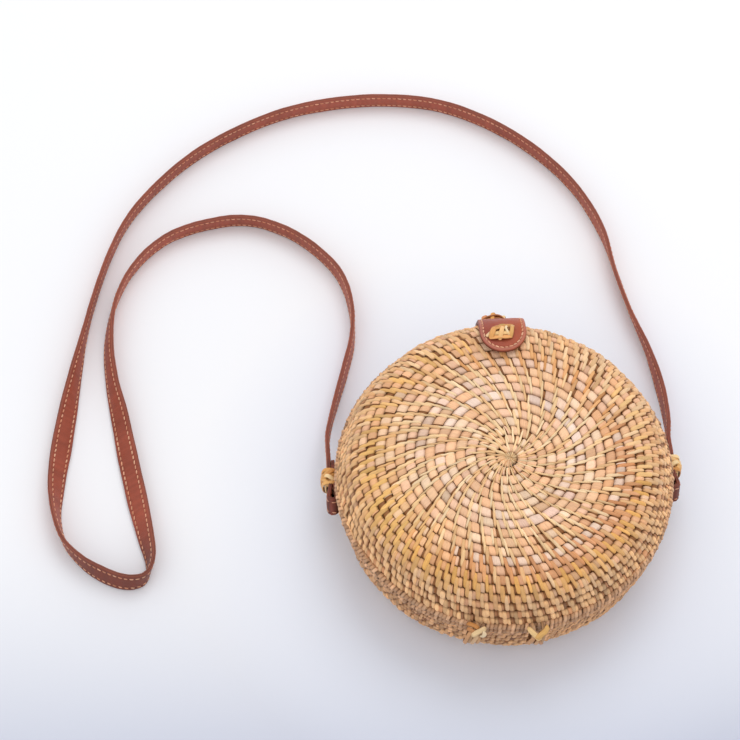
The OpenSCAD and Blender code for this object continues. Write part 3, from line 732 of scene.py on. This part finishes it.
# %% Strap route
STRAP_W, STRAP_T, TILT = 14.0, 2.4, radians(15)
ROUTE = [
    (-10.3, 4.4, 0), (-10.1, 5.8, -1), (-9.7, 7.5, 2), (-9.1, 9.6, 6), (-8.5, 12.0, 4),
    (-8.45, 14.3, -4), (-9.0, 16.6, -4), (-10.3, 18.5, 1), (-12.3, 20.2, 5), (-14.8, 21.2, 8),
    (-17.5, 21.0, 8), (-20.1, 20.0, 8), (-22.1, 18.0, 8), (-23.3, 15.4, 10), (-23.7, 12.6, 22),
    (-23.5, 9.8, 30), (-23.0, 7.2, 46), (-22.5, 4.4, 56), (-21.9, 1.4, 56), (-21.4, -1.0, 40),
    (-21.1, -2.7, 22), (-21.4, -3.8, 4), (-22.4, -4.1, -10), (-23.8, -3.6, -14),
    (-25.2, -2.6, -5), (-26.3, -1.2, 5), (-26.8, 0.7, 15), (-26.8, 3.0, 38), (-26.5, 5.6, 50),
    (-26.1, 8.2, 36), (-25.7, 10.6, 18), (-25.2, 13.3, 0), (-24.6, 15.9, -4), (-23.7, 18.9, -6),
    (-22.5, 21.6, -7), (-20.7, 24.0, -7), (-18.3, 26.3, -6), (-15.5, 28.1, -7), (-12.3, 29.5, -7),
    (-8.9, 30.2, -6), (-5.4, 30.3, -6), (-2.0, 29.7, -6), (1.2, 28.1, -5), (4.0, 25.8, -4),
    (6.3, 22.9, -3), (7.8, 19.5, -1), (8.45, 16.2, -15), (9.1, 13.3, -14), (9.9, 10.5, -3),
    (10.35, 8.0, 7), (10.5, 5.9, 4), (10.45, 4.4, 0)]
LIFTS = [1.0, 0.45, 0.1] + 46 * [0] + [0.1, 0.45, 1.0]
KNOT = np.array([100.4, 11.7, 26.0])
DROP = np.array([0, cos(TILT), -sin(TILT)])


def lying(x, y, lean, lift):
    a = radians(lean)
    return (10 * x, 10 * y, STRAP_W / 2 * cos(a) + STRAP_T / 2 * abs(sin(a)) + 10 * lift, lean)


def by_knot(side, u, v):
    """A point of the folded end: u towards its tail and v outwards from the bag"""
    x, y, z = KNOT + [v - 1.3 - 1.2 * np.clip(u / 16, 0, 1), 0, 0] - u * DROP
    return (side * x, y, z, 0.0)


band = ([by_knot(-1, -12.1, 3.8), by_knot(-1, -22.1, 3.8)]
        + [lying(*place, lift) for place, lift in zip(ROUTE, LIFTS)]
        + [by_knot(1, -22.1, 3.8), by_knot(1, -12.1, 3.8)])
band = smooth(band, 6)

# %% [markdown]
# ## Folded ends
# At each end the strap is folded back on itself, so the tail is a round loop
# and the two layers lie flat together where the cane knot goes through. The
# fold is part of the same route, so one sweep makes the whole strap.

# %% Folds
RING_STEP = 1.6
curl = np.radians(np.linspace(-105, 105, 15))
fold = ([(u, 1.2) for u in (-12, -6, 0, 5, 9.2)]
        + [(18.0 + 2.6 * cos(a), 3.3 + 2.6 * sin(a)) for a in curl]
        + [(u, 3.8) for u in (9.2, 5, 0, -6)])
left_fold = smooth([by_knot(-1, u, v) for u, v in fold], 3)
right_fold = smooth([by_knot(1, u, v) for u, v in reversed(fold)], 3)
route = np.concatenate([left_fold, band, right_fold])
reach = travelled(route[:, :3])
steps = np.arange(0, reach[-1], RING_STEP)
route = read_off(steps, reach, route)
middle, lean = route[:, :3], np.radians(route[:, 3:])
way = unit(np.gradient(middle, axis=0))
left = unit(np.stack([-way[:, 1], way[:, 0], 0 * way[:, 0]], -1))
in_fold = (steps < reach[len(left_fold)])[:, None] | (steps > reach[-len(right_fold)])[:, None]
leaning = [0, 0, 1] * np.cos(lean) + left * np.sin(lean)
upward = np.where(in_fold, [0, sin(TILT), cos(TILT)], leaning)
upward = unit(upward - way * (way * upward).sum(-1, keepdims=True))
outward = np.cross(upward, way)
print("strap length in mm:", round(float(reach[-1])), "rings:", len(steps))

# %% [markdown]
# ## The strap's section
# Seen end on, the strap is two layers with a slit between them. Each face
# dips under the stitches and swells a little between them. The columns below
# give the place across, the height and how open to the light each one is; the
# less open, the darker it is painted, as painted shade.

# %% Swept strap
HALF = [(1.6, 1.28, 1), (3.4, 1.22, 1), (4.2, 1.1, .9), (4.5, 0.98, .6), (4.8, 1.1, .9),
        (5.3, 1.2, 1), (6.4, 1.12, .85), (6.8, 0.92, .62)]
FACE = [(-q, w, s) for q, w, s in reversed(HALF)] + [(0, 1.3, 1)] + HALF
EDGE = [(7.0, 0.6, .7), (6.97, 0.25, .6), (6.75, 0.0, .05), (6.97, -0.25, .6), (7.0, -0.6, .7)]
section = np.array(FACE + EDGE + [(q, -w, s) for q, w, s in reversed(FACE)]
                   + [(-q, -w, s) for q, w, s in EDGE])
q, w, open_air = section.T
wave = 0.10 * np.sin(steps * 0.31 + 1)[:, None] + 0.08 * np.sin(steps * 0.83)[:, None]
q = q[None] * (1 + 0.012 * np.sin(steps * 0.21)[:, None]) + 0.3 * wave
w = w[None] + 0.5 * wave * np.cos(q * 0.4)
closing = np.clip(np.minimum(steps, steps[-1] - steps) / 1.2, 0.05, 1)[:, None]
grid = (middle[:, None] + upward[:, None] * (q * closing ** 0.2)[..., None]
        + outward[:, None] * (w * closing)[..., None])
grid[..., 2] = np.maximum(grid[..., 2], 0.05)
# Painted highlight: the strap's rounded edges are painted lighter, towards #b7654e.
edge = np.clip((np.abs(section[:, 0]) - 6.2) / 0.7, 0, 1)[None, :, None]
worn = (0.5 + 0.5 * np.sin(steps * 0.027 + 0.6))[:, None, None]
brown = toward(paint("#ab5540"), "#8e412c", 0.5 * worn)
# Painted shade: the strap is painted up to half darker where it lies towards the reader.
near = np.clip(-middle[:, 1] / 30, 0, 1)[:, None, None]
brown = brown * (1 - 0.5 * near) * (1 + 0.06 * chance.normal(size=near.shape))
# Painted shade: in the folds each ring is painted darker by a random amount, for the shade of
# crumpled creases.
crease_shade = in_fold[:, :, None] * (0.4 + 0.3 * chance.normal(size=near.shape))
brown = brown * (1 - np.clip(crease_shade, 0, 0.8))
colour = toward(brown, "#b7654e", 0.5 * edge)
tint = with_air(colour, open_air)
girth = np.append(travelled(section[:, :2]), 35.0)
uv = np.stack(np.broadcast_arrays(girth[None, :], steps[:, None]), -1)
strap = sheets("strap_leather", grid[None], uv[None], tint[None], strap_leather,
               closed=True)
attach(strap, "strap")
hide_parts("strap_band", "strap_end_left", "strap_end_right")

# %% Strap stitches
STITCH_STEP, STITCH_LINE = 3.45, 4.5
at = np.arange(2.5, steps[-1] - 2, STITCH_STEP)
spots, ways, outs = [], [], []
for across in (-STITCH_LINE, STITCH_LINE):
    for face in (-1, 1):
        here, onward, up, out = (read_off(at + 0.4 * face, steps, v)
                                 for v in (middle, way, upward, outward))
        spots.append(here + across * up + face * out)
        ways.append(unit(onward))
        outs.append(unit(face * out))
strap_thread = stitches("strap_stitches", *(np.concatenate(v) for v in (spots, ways, outs)))
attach(strap_thread, "strap")
print("strap stitches:", 4 * len(at))

# %% [markdown]
# ## Knots of cane
# Knots, ties and bows are all wound from flat golden cane. Each strand is a
# path of a few points that we smooth, and a flat section swept along it that
# faces away from the knot's heart. Its ends thin out and go under.

# %% Wound strands
GOLD = ["#eab26a", "#f2c586", "#d9964f", "#e5a75e", "#f8d8a2"]


def evenly(points, count):
    line = smooth(points, 8)
    far = travelled(line)
    return read_off(np.linspace(0, far[-1], count), far, line)


def squarish(v, power):
    """A sine or cosine made blunter, for a section between round and square"""
    return np.sign(v) * np.abs(v) ** power


def wound(name, paths, hearts, widths, thick, colours, body, count=40, tip=0.075):
    n = len(paths)
    lines = np.array([evenly(p, count) for p in paths])
    way = unit(np.gradient(lines, axis=1))
    facing = lines - np.broadcast_to(np.asarray(hearts, float), (n, 3))[:, None]
    out = unit(facing - way * (facing * way).sum(-1, keepdims=True))
    side = np.cross(way, out)
    t, turn = down(np.linspace(0, 1, count)), circle(12)
    thin = np.clip(np.minimum(t, 1 - t) / tip, 0.02, 1) ** 0.5
    x, y = squarish(np.cos(turn), 0.75), squarish(np.sin(turn), 0.85)
    wide = each(widths) / 2
    grid = (lines[:, :, None] + side[:, :, None] * (wide * thin * x)[..., None]
            + out[:, :, None] * (thick / 2 * thin * y)[..., None])
    length = each(np.linalg.norm(np.diff(lines, axis=1), axis=2).sum(1))
    uv = lay_map(n, length * t, wide * 0.5 * over(np.arange(13)))
    colour = paints(colours) * (1 + 0.05 * chance.normal(size=(n, 1)))
    # Painted shade: each strand is painted darker on its edges and on its side towards the knot's
    # heart.
    tint = with_depth(colour, np.minimum(1.5 * y - 1.3, -0.5) * (1 + 0 * t) + 0 * wide)
    piece = sheets(name, grid, uv, tint, knot_cane, closed=True)
    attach(piece, body)
    return piece


# %% [markdown]
# ## The side knots
# Each strap end is held by a knot of cane: loops that hug both layers of the
# leather, with broader strands crossed over the top, and a stem through the
# wall. Inside the bag a small ball keeps the stem in place.

# %% Side knots
AXES = [(1, .1, .2), (.1, 1, .1), (.2, .1, 1), (.5, .8, -.4), (.3, -.6, .75), (.7, .5, .6)]
CROSSED = [[(-1.8, 4.2, 5.8), (0, 3.4, 8.8), (2.6, 1.6, 9.7), (5.4, -.4, 7.6), (7.4, -2, 3.4)],
           [(-1.8, -3.4, 6.2), (.4, -2.2, 9), (3.2, -.4, 9.9), (5.8, 1.2, 7), (7.2, 1.8, 2.6)],
           [(2.4, -5.6, 5), (3.6, -4.2, 8), (5.2, -2.4, 7.8), (6.9, .4, 5.2), (7.2, 2.2, 1)],
           [(-.6, 3.8, 7), (1.6, 3.9, 8.9), (4.2, 2.8, 8.2), (6.2, .8, 5.6), (6.8, -1, 2)]]


def ring(centre, axis, radius, shift):
    axis = unit(np.array(axis, float))
    a = unit(np.cross(axis, [0.31, 0.83, 0.46]))
    b = np.cross(axis, a)
    angle = np.linspace(0, 1.1, 14) * 2 * pi
    r = np.sqrt(radius ** 2 - shift ** 2) - 0.35 * np.abs(np.linspace(-1, 1, 14)) ** 6
    return [centre + axis * shift + r[k] * (a * cos(t) + b * sin(t)) for k, t in enumerate(angle)]


def side_knot(name, node, side):
    def spot(v, y, z):
        return np.array([side * (KNOT[0] + v), KNOT[1] + y, KNOT[2] + z])
    strands = []
    for k, y in enumerate((-3.4, -1.7, 0.0, 1.8, 3.4, -4.0, -2.4, -0.4, 2.8)):
        snug = k > 4
        bulge = 0 if snug else sqrt(1 - (y / 5.4) ** 2)
        cross = 0.3 if snug else (1.3 if k % 2 else -1.1)
        loop = []
        for t in np.linspace(0, 2.15 * pi, 18) + 1.1 * k:
            c, z = squarish(cos(t), 0.7), squarish(sin(t), 0.7)
            wide = 3.4 + 2.3 * bulge if c > 0 else 3.5
            loop.append(spot(1.4 + wide * c, y + cross * sin(t + k) - 1.0,
                             0.4 + (7.4 + 0.9 * bulge) * z))
        strands.append((loop, spot(1.4, y, 0.4), 2.3))
    for points in CROSSED:
        path = [spot(v, y - 1.0, z - 0.6) for v, y, z in points]
        strands.append((path, spot(2.0, -1.0, 1.0), 2.5))
    for k in range(3):
        stem = np.linspace(-11.5, 5, 12)
        turn = k * 2 * pi / 3 + stem * 0.35
        path = [spot(v, 0.75 * cos(a), 0.75 * sin(a)) for v, a in zip(stem, turn)]
        strands.append((path, spot(-3, 0, 0), 1.6))
    inner = spot(-12.6, 0, 0)
    for k, axis in enumerate(AXES):
        strands.append((ring(inner, axis, 2.6, 0.5 * (-1) ** k), inner, 2.0))
    paths, hearts, widths = zip(*strands)
    colours = [GOLD[k] for k in chance.integers(0, len(GOLD), len(paths))]
    piece = wound(name, paths, hearts, widths, 1.15, colours, "strap", count=48)
    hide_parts(node)


side_knot("side_knot_left", "strap_knot_left", -1)
side_knot("side_knot_right", "strap_knot_right", 1)

# %% [markdown]
# ## The hinge ties
# The lid hangs on two lashings of cane that go round both rims. Their paths
# lie on a cylinder round the hinge line, at an angle from straight outwards
# and a drift along the seam, so the lid's rim turns inside them untouched.
# Two strands go all the way round; flat slabs are crossed over them in front.
# The table gives each strand's height over the hinge line, width, colour and
# pairs of angle and drift. Both ends of a strand are tucked in lower.

# %% Hinge ties
HINGE_TURN, TIE_GAP, TIE_END = radians(-3.2), 17.5, 5.2


def tie_point(side, angle, drift, reach):
    a = radians(angle)
    x, y = side * TIE_GAP + drift, -BAG_R - reach * cos(a)
    return np.array([x * cos(HINGE_TURN) - y * sin(HINGE_TURN),
                     x * sin(HINGE_TURN) + y * cos(HINGE_TURN), SEAM_Z + reach * sin(a)])


def all_round(drift):
    """The angles and drifts of a strand that goes all the way round both rims"""
    return [(a, drift + 0.9 * sin(a / 40)) for a in range(-170, 171, 34)]


TIES = {
    "left": (-1, [
        (5.9, 2.3, "#c39a72", all_round(-3.6)),
        (5.9, 2.3, "#bd946c", all_round(.4)),
        (6.3, 2.4, "#cf9a6c", [(-70, -6.4), (-25, -6.2), (12, -5.4), (42, -4.2), (66, -2.6),
                               (84, -1)]),
        (6.5, 2.6, "#dcb48a", [(-80, -3.2), (-30, -2.4), (10, -1.2), (40, .6), (58, 2.2)]),
        (6.3, 2.3, "#c99c72", [(-80, .4), (-30, .9), (8, 1.6), (34, 2.6)]),
        (6.6, 2.8, "#cf8d4c", [(112, -5.4), (104, -3.8), (96, -1.4), (84, .8), (70, 2.0)]),
        (6.8, 2.4, "#c98a55", [(84, -5.2), (74, -3.6), (66, -1.6), (60, .6)]),
        (7.2, 3.2, "#ecca98", [(38, -2.8), (48, -1.6), (60, .6), (68, 2.8), (78, 4.8),
                               (88, 5.8)]),
        (7.3, 3.0, "#f3dab2", [(32, 2.2), (46, 4.2), (58, 4.8), (70, 4.4)])]),
    "right": (1, [
        (5.9, 2.3, "#c39a72", all_round(-3.0)),
        (5.9, 2.3, "#bd946c", all_round(2.6)),
        (6.3, 2.4, "#cb986c", [(-70, -5.4), (-25, -5.0), (6, -4.0), (30, -2.0), (48, 0)]),
        (6.5, 2.4, "#d6a87e", [(-80, -1.6), (-35, -1.0), (0, -.2), (26, .8)]),
        (6.3, 2.3, "#c39068", [(-80, 3.0), (-30, 2.6), (2, 2.0), (26, 1.0)]),
        (6.9, 3.3, "#ecc488", [(92, -5.8), (80, -4.9), (64, -3.0), (46, -.6), (30, 1.2),
                               (14, 1.8)]),
        (7.2, 3.5, "#e4b066", [(104, 6.0), (90, 5.6), (70, 4.4), (54, 2.0), (36, -.2),
                               (18, -1.2)])])}
for name, (side, strands) in TIES.items():
    reaches, widths, colours, turns = zip(*strands)
    paths = [[tie_point(side, a, d, high if 0 < k < len(pairs) - 1 else TIE_END)
              for k, (a, d) in enumerate(pairs)] for high, pairs in zip(reaches, turns)]
    tie = wound("hinge_lashing_" + name, paths, tie_point(side, 0, 0, 0), widths, 1.5, colours,
                "back", tip=0.25)
    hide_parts("hinge_tie_" + name)
print("hinge ties:", list(TIES))

# %% [markdown]
# ## The closing tab
# The tab is one tongue of leather that starts on the back's wall, bends over
# at the seam and lies on the lid with a half round tip. We lay out its plan
# flat, with `l` measured from the tip, and bend it onto its side view.

# %% Side view of the tab
TAB_X, TAB_HALF, TAB_T = 3.5, 14.0, 1.3
turn = np.radians(np.linspace(90, 14, 40))
snug = 24.8 - 1.8 * np.clip((radians(78) - turn) / radians(34), 0, 1)
arc = list(zip(74.38 + snug * np.cos(turn), 55 + snug * np.sin(turn)))
corners = np.array([(64.99, 79.8)] + arc + [(101.7, 50.0), (98.93, 26.0)])
length = travelled(corners)
TAB_L, FOLD_L = float(length[-1]), float(length[-2])
fine = np.arange(0, TAB_L, 0.25)
side_view = read_off(fine, length, corners)
soft = np.pad(side_view, ((8, 8), (0, 0)), mode="reflect", reflect_type="odd")
side_view = np.stack([np.convolve(soft[:, k], np.ones(17) / 17, "valid") for k in (0, 1)], -1)
heading = unit(np.gradient(side_view, axis=0))
print("tab length in mm:", round(TAB_L, 1), "bend at:", round(FOLD_L, 1))


def on_tab(x, l, lift):
    """A point above the tab's middle layer: x across, l from the tip"""
    x, l, lift = np.broadcast_arrays(x, l, lift)
    y, z, hy, hz = (np.interp(l, fine, v) for v in (*side_view.T, *heading.T))
    return np.stack([TAB_X + x, y - lift * hz, z + lift * hy], -1)


def inset(x, l):
    """Distance from the nearest edge of the tongue"""
    tip = TAB_HALF - np.hypot(x, TAB_HALF - l)
    return np.maximum(np.minimum(np.where(l < TAB_HALF, tip, TAB_HALF - np.abs(x)), TAB_L - l), 0)


# %% Tab leather
STITCH_IN = 2.4
tip_l = TAB_HALF * (1 - np.cos(np.linspace(0, pi / 2, 34)))
l = np.concatenate([tip_l, np.arange(TAB_HALF + 0.8, TAB_L - 1, 0.8),
                    TAB_L - np.array([0.9, 0.6, 0.35, 0.15, 0.0])])[:, None]
half = np.sqrt(np.maximum(TAB_HALF ** 2 - np.maximum(TAB_HALF - l, 0) ** 2, 0))
x = half * np.sin(np.linspace(-pi / 2, pi / 2, 75))[None]
d = inset(x, l)
swell = np.sqrt(1 - (1 - np.clip(d / 0.8, 0, 1)) ** 2)
top = TAB_T * swell + 0.3 * (1 - np.exp(-d / 5)) - 0.34 * np.exp(-((d - STITCH_IN) / 0.4) ** 2)
top = top + 0.1 * np.sin(0.5 * x + 0.2 * l) * np.sin(0.27 * l + 1)
under = -TAB_T * swell * 0.98
both_x, both_l = np.concatenate([x, x[:, ::-1]], 1), l + np.zeros((1, 2 * x.shape[1]))
grid = on_tab(both_x, both_l, np.concatenate([top, under[:, ::-1]], 1))
d = np.concatenate([d, d[:, ::-1]], 1)[..., None]
across = np.clip(both_x / 28 + 0.5, 0, 1)[..., None]
colour = toward(paint("#9a4636"), "#b4522c", across)
band = np.exp(-((d - 1.2) / 0.9) ** 2)
colour = toward(colour, "#c78570", 0.5 * band)
sheen = np.exp(-((both_l[..., None] - FOLD_L + 1.5) / 3.0) ** 2)
colour = toward(colour, "#b07568", 0.6 * sheen)
# Painted shade: the tab is painted darker at its thin edge, where the two layers meet, and along
# the stitch groove.
open_air = np.clip(0.15 + d / 0.35, 0, 1) * (1 - 0.45 * np.exp(-((d - STITCH_IN) / 0.3) ** 2))
tint = with_air(colour, open_air[..., 0])
uv_x = np.concatenate([both_x, both_x[:, :1] + 60], 1)
uv = np.stack([uv_x, l + 0 * uv_x], -1)
tongue = sheets("tab_leather", grid[None], uv[None], tint[None], tab_leather,
                closed=True)
BEND = [tuple(MM * v for v in on_tab(0.0, FOLD_L + k, 0.0)) for k in (3.0, -3.0)]
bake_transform(tongue)
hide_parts("tab_flap", "tab_base")

# %% Tab stitches
SIDE_STEP, END_STEP = 2.9, 3.2
r = TAB_HALF - STITCH_IN
straight = np.arange(TAB_HALF, TAB_L - STITCH_IN, SIDE_STEP)
turn = np.linspace(0, pi, round(pi * r / SIDE_STEP) + 1)[1:-1]
plan = np.concatenate([np.stack([-r + 0 * straight, straight], -1)[::-1],
                       np.stack([-r * np.cos(turn), TAB_HALF - r * np.sin(turn)], -1),
                       np.stack([r + 0 * straight, straight], -1)])
end = np.arange(-r + END_STEP, r - 1, END_STEP)
plan_way = unit(np.gradient(plan, axis=0))
plan = np.concatenate([plan, np.stack([end, 0 * end + TAB_L - STITCH_IN], -1)])
plan_way = np.concatenate([plan_way, np.stack([1 + 0 * end, 0 * end], -1)])
spots = on_tab(plan[:, 0], plan[:, 1], 1.12)
ways = unit(on_tab(*(plan + 0.5 * plan_way).T, 1.12) - on_tab(*(plan - 0.5 * plan_way).T, 1.12))
outs = unit(on_tab(plan[:, 0], plan[:, 1], 2.0) - spots)
tab_thread = stitches("tab_stitches", spots, ways, outs)
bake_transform(tab_thread)
print("tab stitches:", len(plan))

# %% [markdown]
# ## Bows of cane
# A small bow of cane sits on the tab's tip, over the press stud's cap, and a
# second one holds the tab to the back's wall. Each is wound of flat slabs: a
# broad one underneath, three lying across, a thin tip at the left, three
# round the others and two short ones that nearly close its eyes. The numbers
# give places across, towards the bend and above the leather, in millimetres,
# and then the width of the slab.

# %% Bows
BOW = [
    ([(-5.8, .4, .7), (-2.6, .2, 1.5), (.6, -.2, 1.6), (3.8, -.6, 1.5), (7.4, -1.6, .8)], 6.4),
    ([(-6.8, 2.6, .7), (-3.4, 3, 1.6), (0, 2.9, 2), (3.6, 3.1, 1.9), (7.2, 2, .8)], 3.4),
    ([(-4.8, -2.2, .6), (-2, -2.9, 1.6), (1.5, -3, 1.9), (4.8, -3.8, 1.6), (8.8, -5, .4)], 3),
    ([(-5.2, .7, 1), (-2.2, 1.3, 2.5), (1, 1.4, 2.7), (4.6, 1.2, 2.6), (7, .8, 1.4)], 2.6),
    ([(-8.2, 2.2, .4), (-7.2, 1.4, 1), (-6, .3, 1), (-4.2, -1.4, .8)], 1.9),
    ([(-5.6, 3.9, .5), (-4.9, 1.6, 2.6), (-3.6, -1.1, 2.7), (-2.2, -4.2, .5)], 3.4),
    ([(-.6, 4.8, .4), (.4, 2, 3.2), (1.4, -1, 3.2), (3, -4.9, .6)], 2.8),
    ([(6, 3.8, .4), (6.8, 1.2, 2.6), (7.4, -1.8, 2.7), (8.2, -5.8, .4)], 2.4),
    ([(5.2, 2.6, 2), (4.2, .4, 3), (3.6, -1.4, 3), (4.4, -3.4, 2)], 1.5),
    ([(-4.6, -2.6, 2.2), (-2.6, -1.2, 2.9), (-.4, -1.6, 2.9), (1.6, -3.4, 2)], 1.5)]
# The first colour of each list is for the broad slab underneath: a dark brown, painted shade in
# the bow's eyes.
LIGHT_BOW = ["#9a6230", "#e8a765", "#d99a55", "#f0c384", "#f6cfa0",
             "#dfa05c", "#f2bf80", "#e8b068", "#f8dcae", "#e3a45e"]
# The second list, for the back bow, is a darker copy of the first: painted shade.
SHADED_BOW = ["#8e562c", "#d98850", "#dd9355", "#c98045", "#e2b078",
            "#dd8c50", "#dc9a4c", "#f0cf98", "#c87c40", "#d49250"]


def bow(name, node, body, x, l, scale, leg_depth, colours):
    paths, widths = [], []
    for level in np.arange(scale, 0.9, -1.1):
        for points, width in BOW:
            a, b, h = np.array(points).T
            paths.append(on_tab(x + a, l - b, TAB_T + 0.1 + h * level))
            widths.append(width)
    for k in (-6, 7):
        paths.append(on_tab(x + k, l, TAB_T + np.linspace(1.2, -leg_depth, 6)))
        widths.append(1.4)
    heart = on_tab(np.array(x), np.array(l), np.array(-40.0))
    colours = (3 * colours)[:len(paths)]
    piece = wound(name, paths, heart, widths, 1.15 * scale ** 0.5, colours, body)
    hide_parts(node)


bow("bow_on_tip", "tab_knot_front", "tab", -2.1, 11.9, 1.0, 2.4, LIGHT_BOW)
bow("bow_on_back", "tab_knot_back", "back", -3.0, FOLD_L + 3.6, 2.4, 9.0, SHADED_BOW)

# %% [markdown]
# ## The linings
# Inside, each shell has a cotton lining, cut from one piece and eased round
# the shoulder, where it falls into small pleats. It lies 6 mm inside the
# weave and ends a little before the rim.

# %% Cotton linings
f = Finish("cotton lining", {"Specular IOR Level": 0.2, "Roughness": 0.9})
lay = f.lay()
warp, weft = (f.node("TexWave", {"Vector": lay, "Scale": 0.6, "Distortion": 0.8}, 1,
                     bands_direction=axis) for axis in "XY")
yarn = warp + weft
soil = f.noise(lay, 0.04, 4.0)
f.set({"Base Color": f.mix(0.5 * soil + 0.12 * yarn, opaque("#f3ecdd"), opaque("#cdbfa2")),
       "Normal": f.ridge(yarn, 0.4, 0.0002)})
cotton = f.material
HEM, INSIDE, PLEATS = 9, 5.7, 31


def lining(name, node, body, bowl):
    end = bowl.length - HEM
    s = np.array([0.6, 3, 6, *np.arange(10, end, 2), end])[:, None]
    angle = (np.arange(240) / 240 * 2 * pi)[None]
    eased = np.exp(-((s - bowl.face - 0.5 * bowl.bend) / 17) ** 2)
    pleat = eased * (0.5 + 0.5 * np.sin(PLEATS * angle + 2 * np.sin(3 * angle) + s * 0.05)) ** 2
    slack = 0.5 + 0.5 * np.sin(s * 0.08 + 2 * np.sin(2 * angle + 1)) * np.sin(3 * angle + 0.5)
    depth = INSIDE + 1.1 * pleat + 0.7 * slack
    r, z, out_r, out_z = bowl.profile(s)
    r, z = r - depth * out_r, z - depth * out_z
    grid = np.stack([r * np.cos(angle), r * np.sin(angle), SEAM_Z + bowl.side * z], -1)
    around = np.append(angle, 2 * pi)
    uv = np.stack([s * np.cos(around), s * np.sin(around)], -1)
    tint = with_air(np.full(3, 0.8), np.ones(grid.shape[:2]))
    cloth = sheets(name, grid[None], uv[None], tint[None], cotton, closed=True,
                   flip=bowl.side > 0)
    hem = cloth.modifiers.new("thickness", "SOLIDIFY")
    hem.thickness, hem.offset = 0.0005, 0
    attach(cloth, body)
    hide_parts(node)


lining("lid_lining_cloth", "lid_lining", "lid", lid_bowl)
lining("back_lining_cloth", "back_lining", "back", back_bowl)

# %% [markdown]
# ## The press stud
# The stud's four small parts keep the model's own exact shapes. They only get
# an old brass: yellow where it rubs, brown and duller in between.

# %% Brass
f = Finish("old brass", {"Metallic": 1.0})
spot = f.node("TexCoord", output=3)
tarnish = f.noise(spot, 260.0, 4.0)
scratch = f.noise(f.stretched(spot, (4000.0, 500.0, 900.0)), 1.0, 3.0)
f.set({"Base Color": f.mix(tarnish ** 1.5, opaque("#d8b672"), opaque("#8a6a3c")),
       "Roughness": 0.22 + 0.35 * tarnish, "Normal": f.ridge(scratch, 0.25, 0.00005)})
for name in ("snap_cap", "snap_socket", "snap_stud", "snap_post"):
    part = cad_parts[name]
    for place in part.material_slots:
        place.link = "OBJECT"
        place.material = f.material
print("brass parts:", 4)

# %% [markdown]
# ## Floor and light
# The bag lies on a white table under very soft light, which comes a little
# more from behind. The table's colour carries painted shade: it runs from white
# behind the bag to a pale, cool grey towards the reader, where the light falls
# off, so no extra light has to make it white. Close to the bag a painted bluish
# white makes up for the warm light from the cane.

# %% Floor
plane = bpy.data.meshes.new("table_top")
plane.from_pydata([(-3, -3, 0), (3, -3, 0), (3, 3, 0), (-3, 3, 0)], [], [(0, 1, 2, 3)])
table_top = put("table_top", plane)
f = Finish("white table", {"Roughness": 0.9, "Specular IOR Level": 0.1})
spot = f.node("TexCoord", output=3)
behind = f.node("SeparateXYZ", {0: spot}, 1)
near = f.node("MapRange", {0: behind, 1: 0.02, 2: -0.16})
grain = f.noise(spot, 220.0, 3.0)
far = f.node("VectorMath", {0: spot}, 1, operation="LENGTH")
close = f.node("MapRange", {0: far, 1: 0.19, 2: 0.09})
# Painted shade: the table turns a cool grey towards the reader, and close to the bag a painted
# bluish white makes up for the warm light from the cane.
table_colour_and_shade = f.mix(near ** 1.6 + 0.02 * (grain - 0.5), opaque("#f9fafe"), opaque("#cacfe0"))
f.set({"Base Color": f.mix(close * 0.85, table_colour_and_shade, opaque("#e9f0ff"))})
plane.materials.append(f.material)

# %% Lights
world = bpy.data.worlds.new("soft room")
bpy.context.scene.world = world
world.use_nodes = True
world.node_tree.nodes["Background"].inputs["Color"].default_value = (1, 1, 1, 1)
world.node_tree.nodes["Background"].inputs["Strength"].default_value = 0.86
lamp = bpy.data.lights.new("main light", "AREA")
lamp.shape, lamp.size, lamp.energy = "DISK", 1.2, 6.5
holder = put("main light", lamp)
holder.location = (0.25, 0.75, 1.5)
holder.rotation_euler = (-holder.location).to_track_quat("-Z", "Y").to_euler()
print("lamps:", len(bpy.data.lights))

# %% Sizes and finish
def plain(box):
    return [[float(v) for v in corner] for corner in box]
